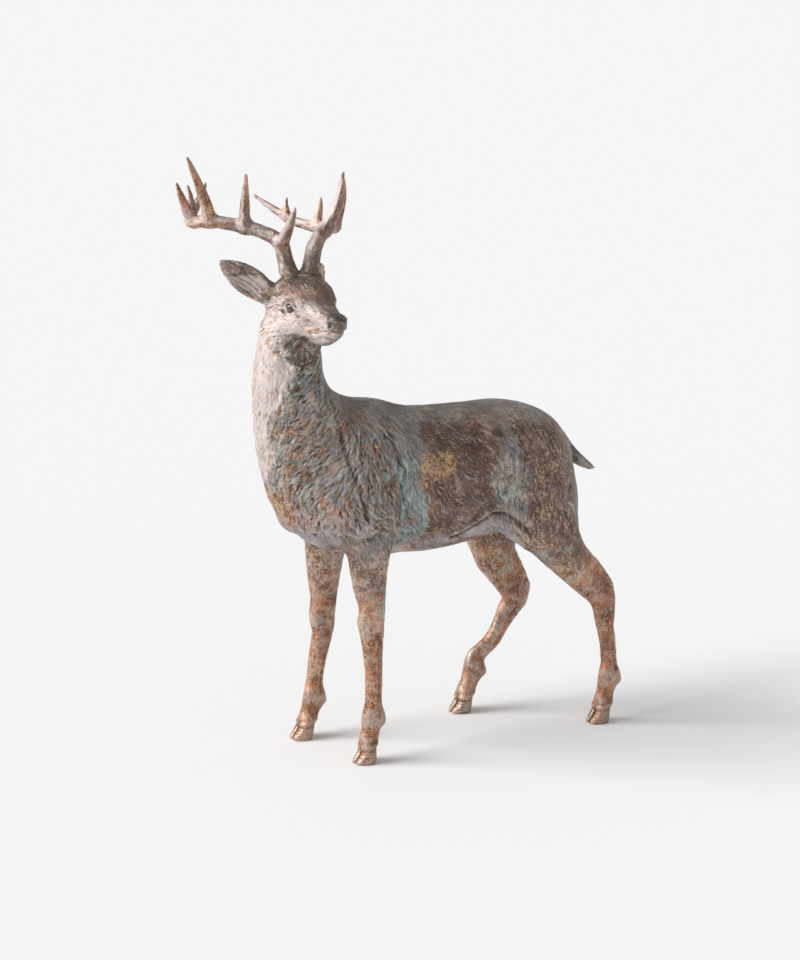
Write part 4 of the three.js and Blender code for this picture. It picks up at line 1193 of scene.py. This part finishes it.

# %% [markdown]
# The layers go on in the order in which a foundry lays them: ground, washes, black on the dark marks (eyes,
# nostrils, seams, tail, throat and more), skin rubbed pale, flecks of gilt wax, then dirt in the hollows and
# bare metal on the ridges. The rubbed pale layer is also a painted highlight on the sides that face the lamp,
# the slate wash a painted sheen on the back, and the lilac wash a painted underlight on the undersides. Hairs
# finer than the mesh are a bump. Worn and gilt places shine a little more than the rubbed and lit skin, which
# is chalky.

# %% Patinated cast bronze
def bronze(name):
    material = bpy.data.materials.new(name)
    material.use_nodes = True
    tree = material.node_tree
    feeds = {key: add(tree, "Attribute", out="Fac", attribute_name=key) for key in MARKS}
    feeds |= {key: spots(tree, *row) for key, row in SPOTS.items()}
    feeds["fine"] = hairs(tree, 0.7, 7.0, 3.1, feeds["coat"])
    feeds["coarse"] = hairs(tree, 1.5, 16.0, 11.7, feeds["coat"])
    feeds["lock"] = hairs(tree, 2.4, 12.0, 23.9, 1.0)
    tint = weighed(tree, feeds, 0.5, {"lock": 2.2, "cloud": 1.6})
    layers = [(weighed(tree, feeds, 0.1, {"coat": 0.6}), add(tree, "ValToRGB", {0: tint}, 0, GROUND))]
    streak = spread(tree, feeds, {"fine": 1.6, "grain": 1.0, "pepper": 0.7, "patch": 1.3}, -0.45, 0.47)
    for weights, low, high, most, dark, light in WASHES:
        streaked = add(tree, "Mix", {0: streak, 6: srgb(dark), 7: srgb(light)}, 2, data_type="RGBA")
        layers.append((spread(tree, feeds, weights, low, high, most), streaked))
    layers.append((weighed(tree, feeds, 0.0, {"dark": 0.85}), srgb("#38342f")))
    # the rubbed pale layer: partly rubbed patina, partly a painted highlight on the lamp side
    skin = {"pale_and_lit": 1.25, "coarse": 2.0, "fleck": 1.0, "ridge": 0.6, "pepper": 1.0, "bloom": 0.8}
    feeds["skin"] = spread(tree, feeds, skin, 0.2, 1.15)
    layers.append((weighed(tree, feeds, 0.0, {"skin": 0.92}), add(tree, "ValToRGB", {0: tint}, 0, RUBBED_AND_LIT)))
    gold = {"fleck": 0.8, "grain": 0.5, "gilt": 0.2, "bloom": 0.6}
    feeds["gold"] = spread(tree, feeds, gold, 0.14, 0.28, 0.65)
    layers.append((feeds["gold"], srgb("#dcb388")))
    depth = {"ridge": 1.3, "crest": 0.35, "fine": 2.8, "coarse": 1.4, "grain": 0.5}
    hollow = spread(tree, feeds, depth, -0.15, -0.9, 0.74)
    clean = weighed(tree, feeds, 1.0, {"skin": -0.45})
    dirt = add(tree, "Math", {0: hollow, 1: clean}, operation="MULTIPLY")
    layers.append((dirt, srgb("#2e2521")))
    feeds["worn"] = spread(tree, feeds, depth, 0.1, 0.7, 0.5)
    layers.append((feeds["worn"], srgb("#c4b8ae")))
    # plain umber shows where there is hardly any coat
    plain = spread(tree, feeds, {"coarse": 1.0}, -0.14, 0.14)
    colour = add(tree, "Mix", {0: plain, 6: srgb("#5b4c45"), 7: srgb("#a6978d")}, 2, data_type="RGBA")
    for share, over in layers:
        colour = add(tree, "Mix", {0: share, 6: colour, 7: over}, 2, data_type="RGBA")
    relief = weighed(tree, feeds, 0.0, {"fine": 0.55, "coarse": 0.8, "grain": 0.12, "pepper": 0.12})
    shader = tree.nodes["Principled BSDF"].inputs
    shader["Metallic"].default_value = 0.55  # the patina is a mineral skin, half over the metal
    for key, value in {
        "Base Color": colour,
        "Roughness": weighed(tree, feeds, 0.54, {"skin": 0.14, "worn": -0.2, "gold": -0.15, "grain": 0.2}),
        "Normal": add(tree, "Bump", {"Height": relief, "Strength": 1.0, "Distance": 0.0014}, "Normal"),
    }.items():
        tree.links.new(value, shader[key])
    print(name, "has", len(tree.nodes), "nodes and", len(layers), "layers")
    return material


for piece in (body, head, antlers):
    piece.data.materials.append(bronze("patinated_cast_bronze_" + piece.name))

# %% [markdown]
# The deer stands on pale matt paper that runs on past the horizon. A large soft lamp on its left side, not
# very high, models the coat, and an even white room fills the shadows.

# %% Floor and light
scene.view_settings.view_transform = "Standard"  # shows each colour as its hex value says
FLOOR = 150  # metres to each side, so that no camera sees its edge
floor_mesh = bpy.data.meshes.new("floor")
corners = [(x * FLOOR, y * FLOOR, 0) for x, y in ((-1, -1), (1, -1), (1, 1), (-1, 1))]
floor_mesh.from_pydata(corners, [], [(0, 1, 2, 3)])
floor = bpy.data.objects.new("floor", floor_mesh)
scene.collection.objects.link(floor)
paper = bpy.data.materials.new("pale_paper")
paper.use_nodes = True
for key, value in {"Base Color": srgb("#f4f4f4"), "Roughness": 1.0, "Specular IOR Level": 0.0}.items():
    paper.node_tree.nodes["Principled BSDF"].inputs[key].default_value = value
floor_mesh.materials.append(paper)

world = bpy.data.worlds.new("studio")
world.use_nodes = True
for key, value in {"Color": srgb("#ffffff"), "Strength": 0.46}.items():
    world.node_tree.nodes["Background"].inputs[key].default_value = value
scene.world = world

LAMP_TURN, LAMP_LIFT = math.radians(-106), math.radians(33)
key_light = bpy.data.lights.new("key", "SUN")
key_light.energy = 3.2
key_light.angle = math.radians(42)  # as wide as a large softbox close by, which blurs the shadow's edge
lamp = bpy.data.objects.new("key", key_light)
lamp.rotation_euler = direction(LAMP_TURN, LAMP_LIFT).to_track_quat("Z", "Y").to_euler()
scene.collection.objects.link(lamp)
print("sun of strength", key_light.energy, "and a room of strength 0.46")
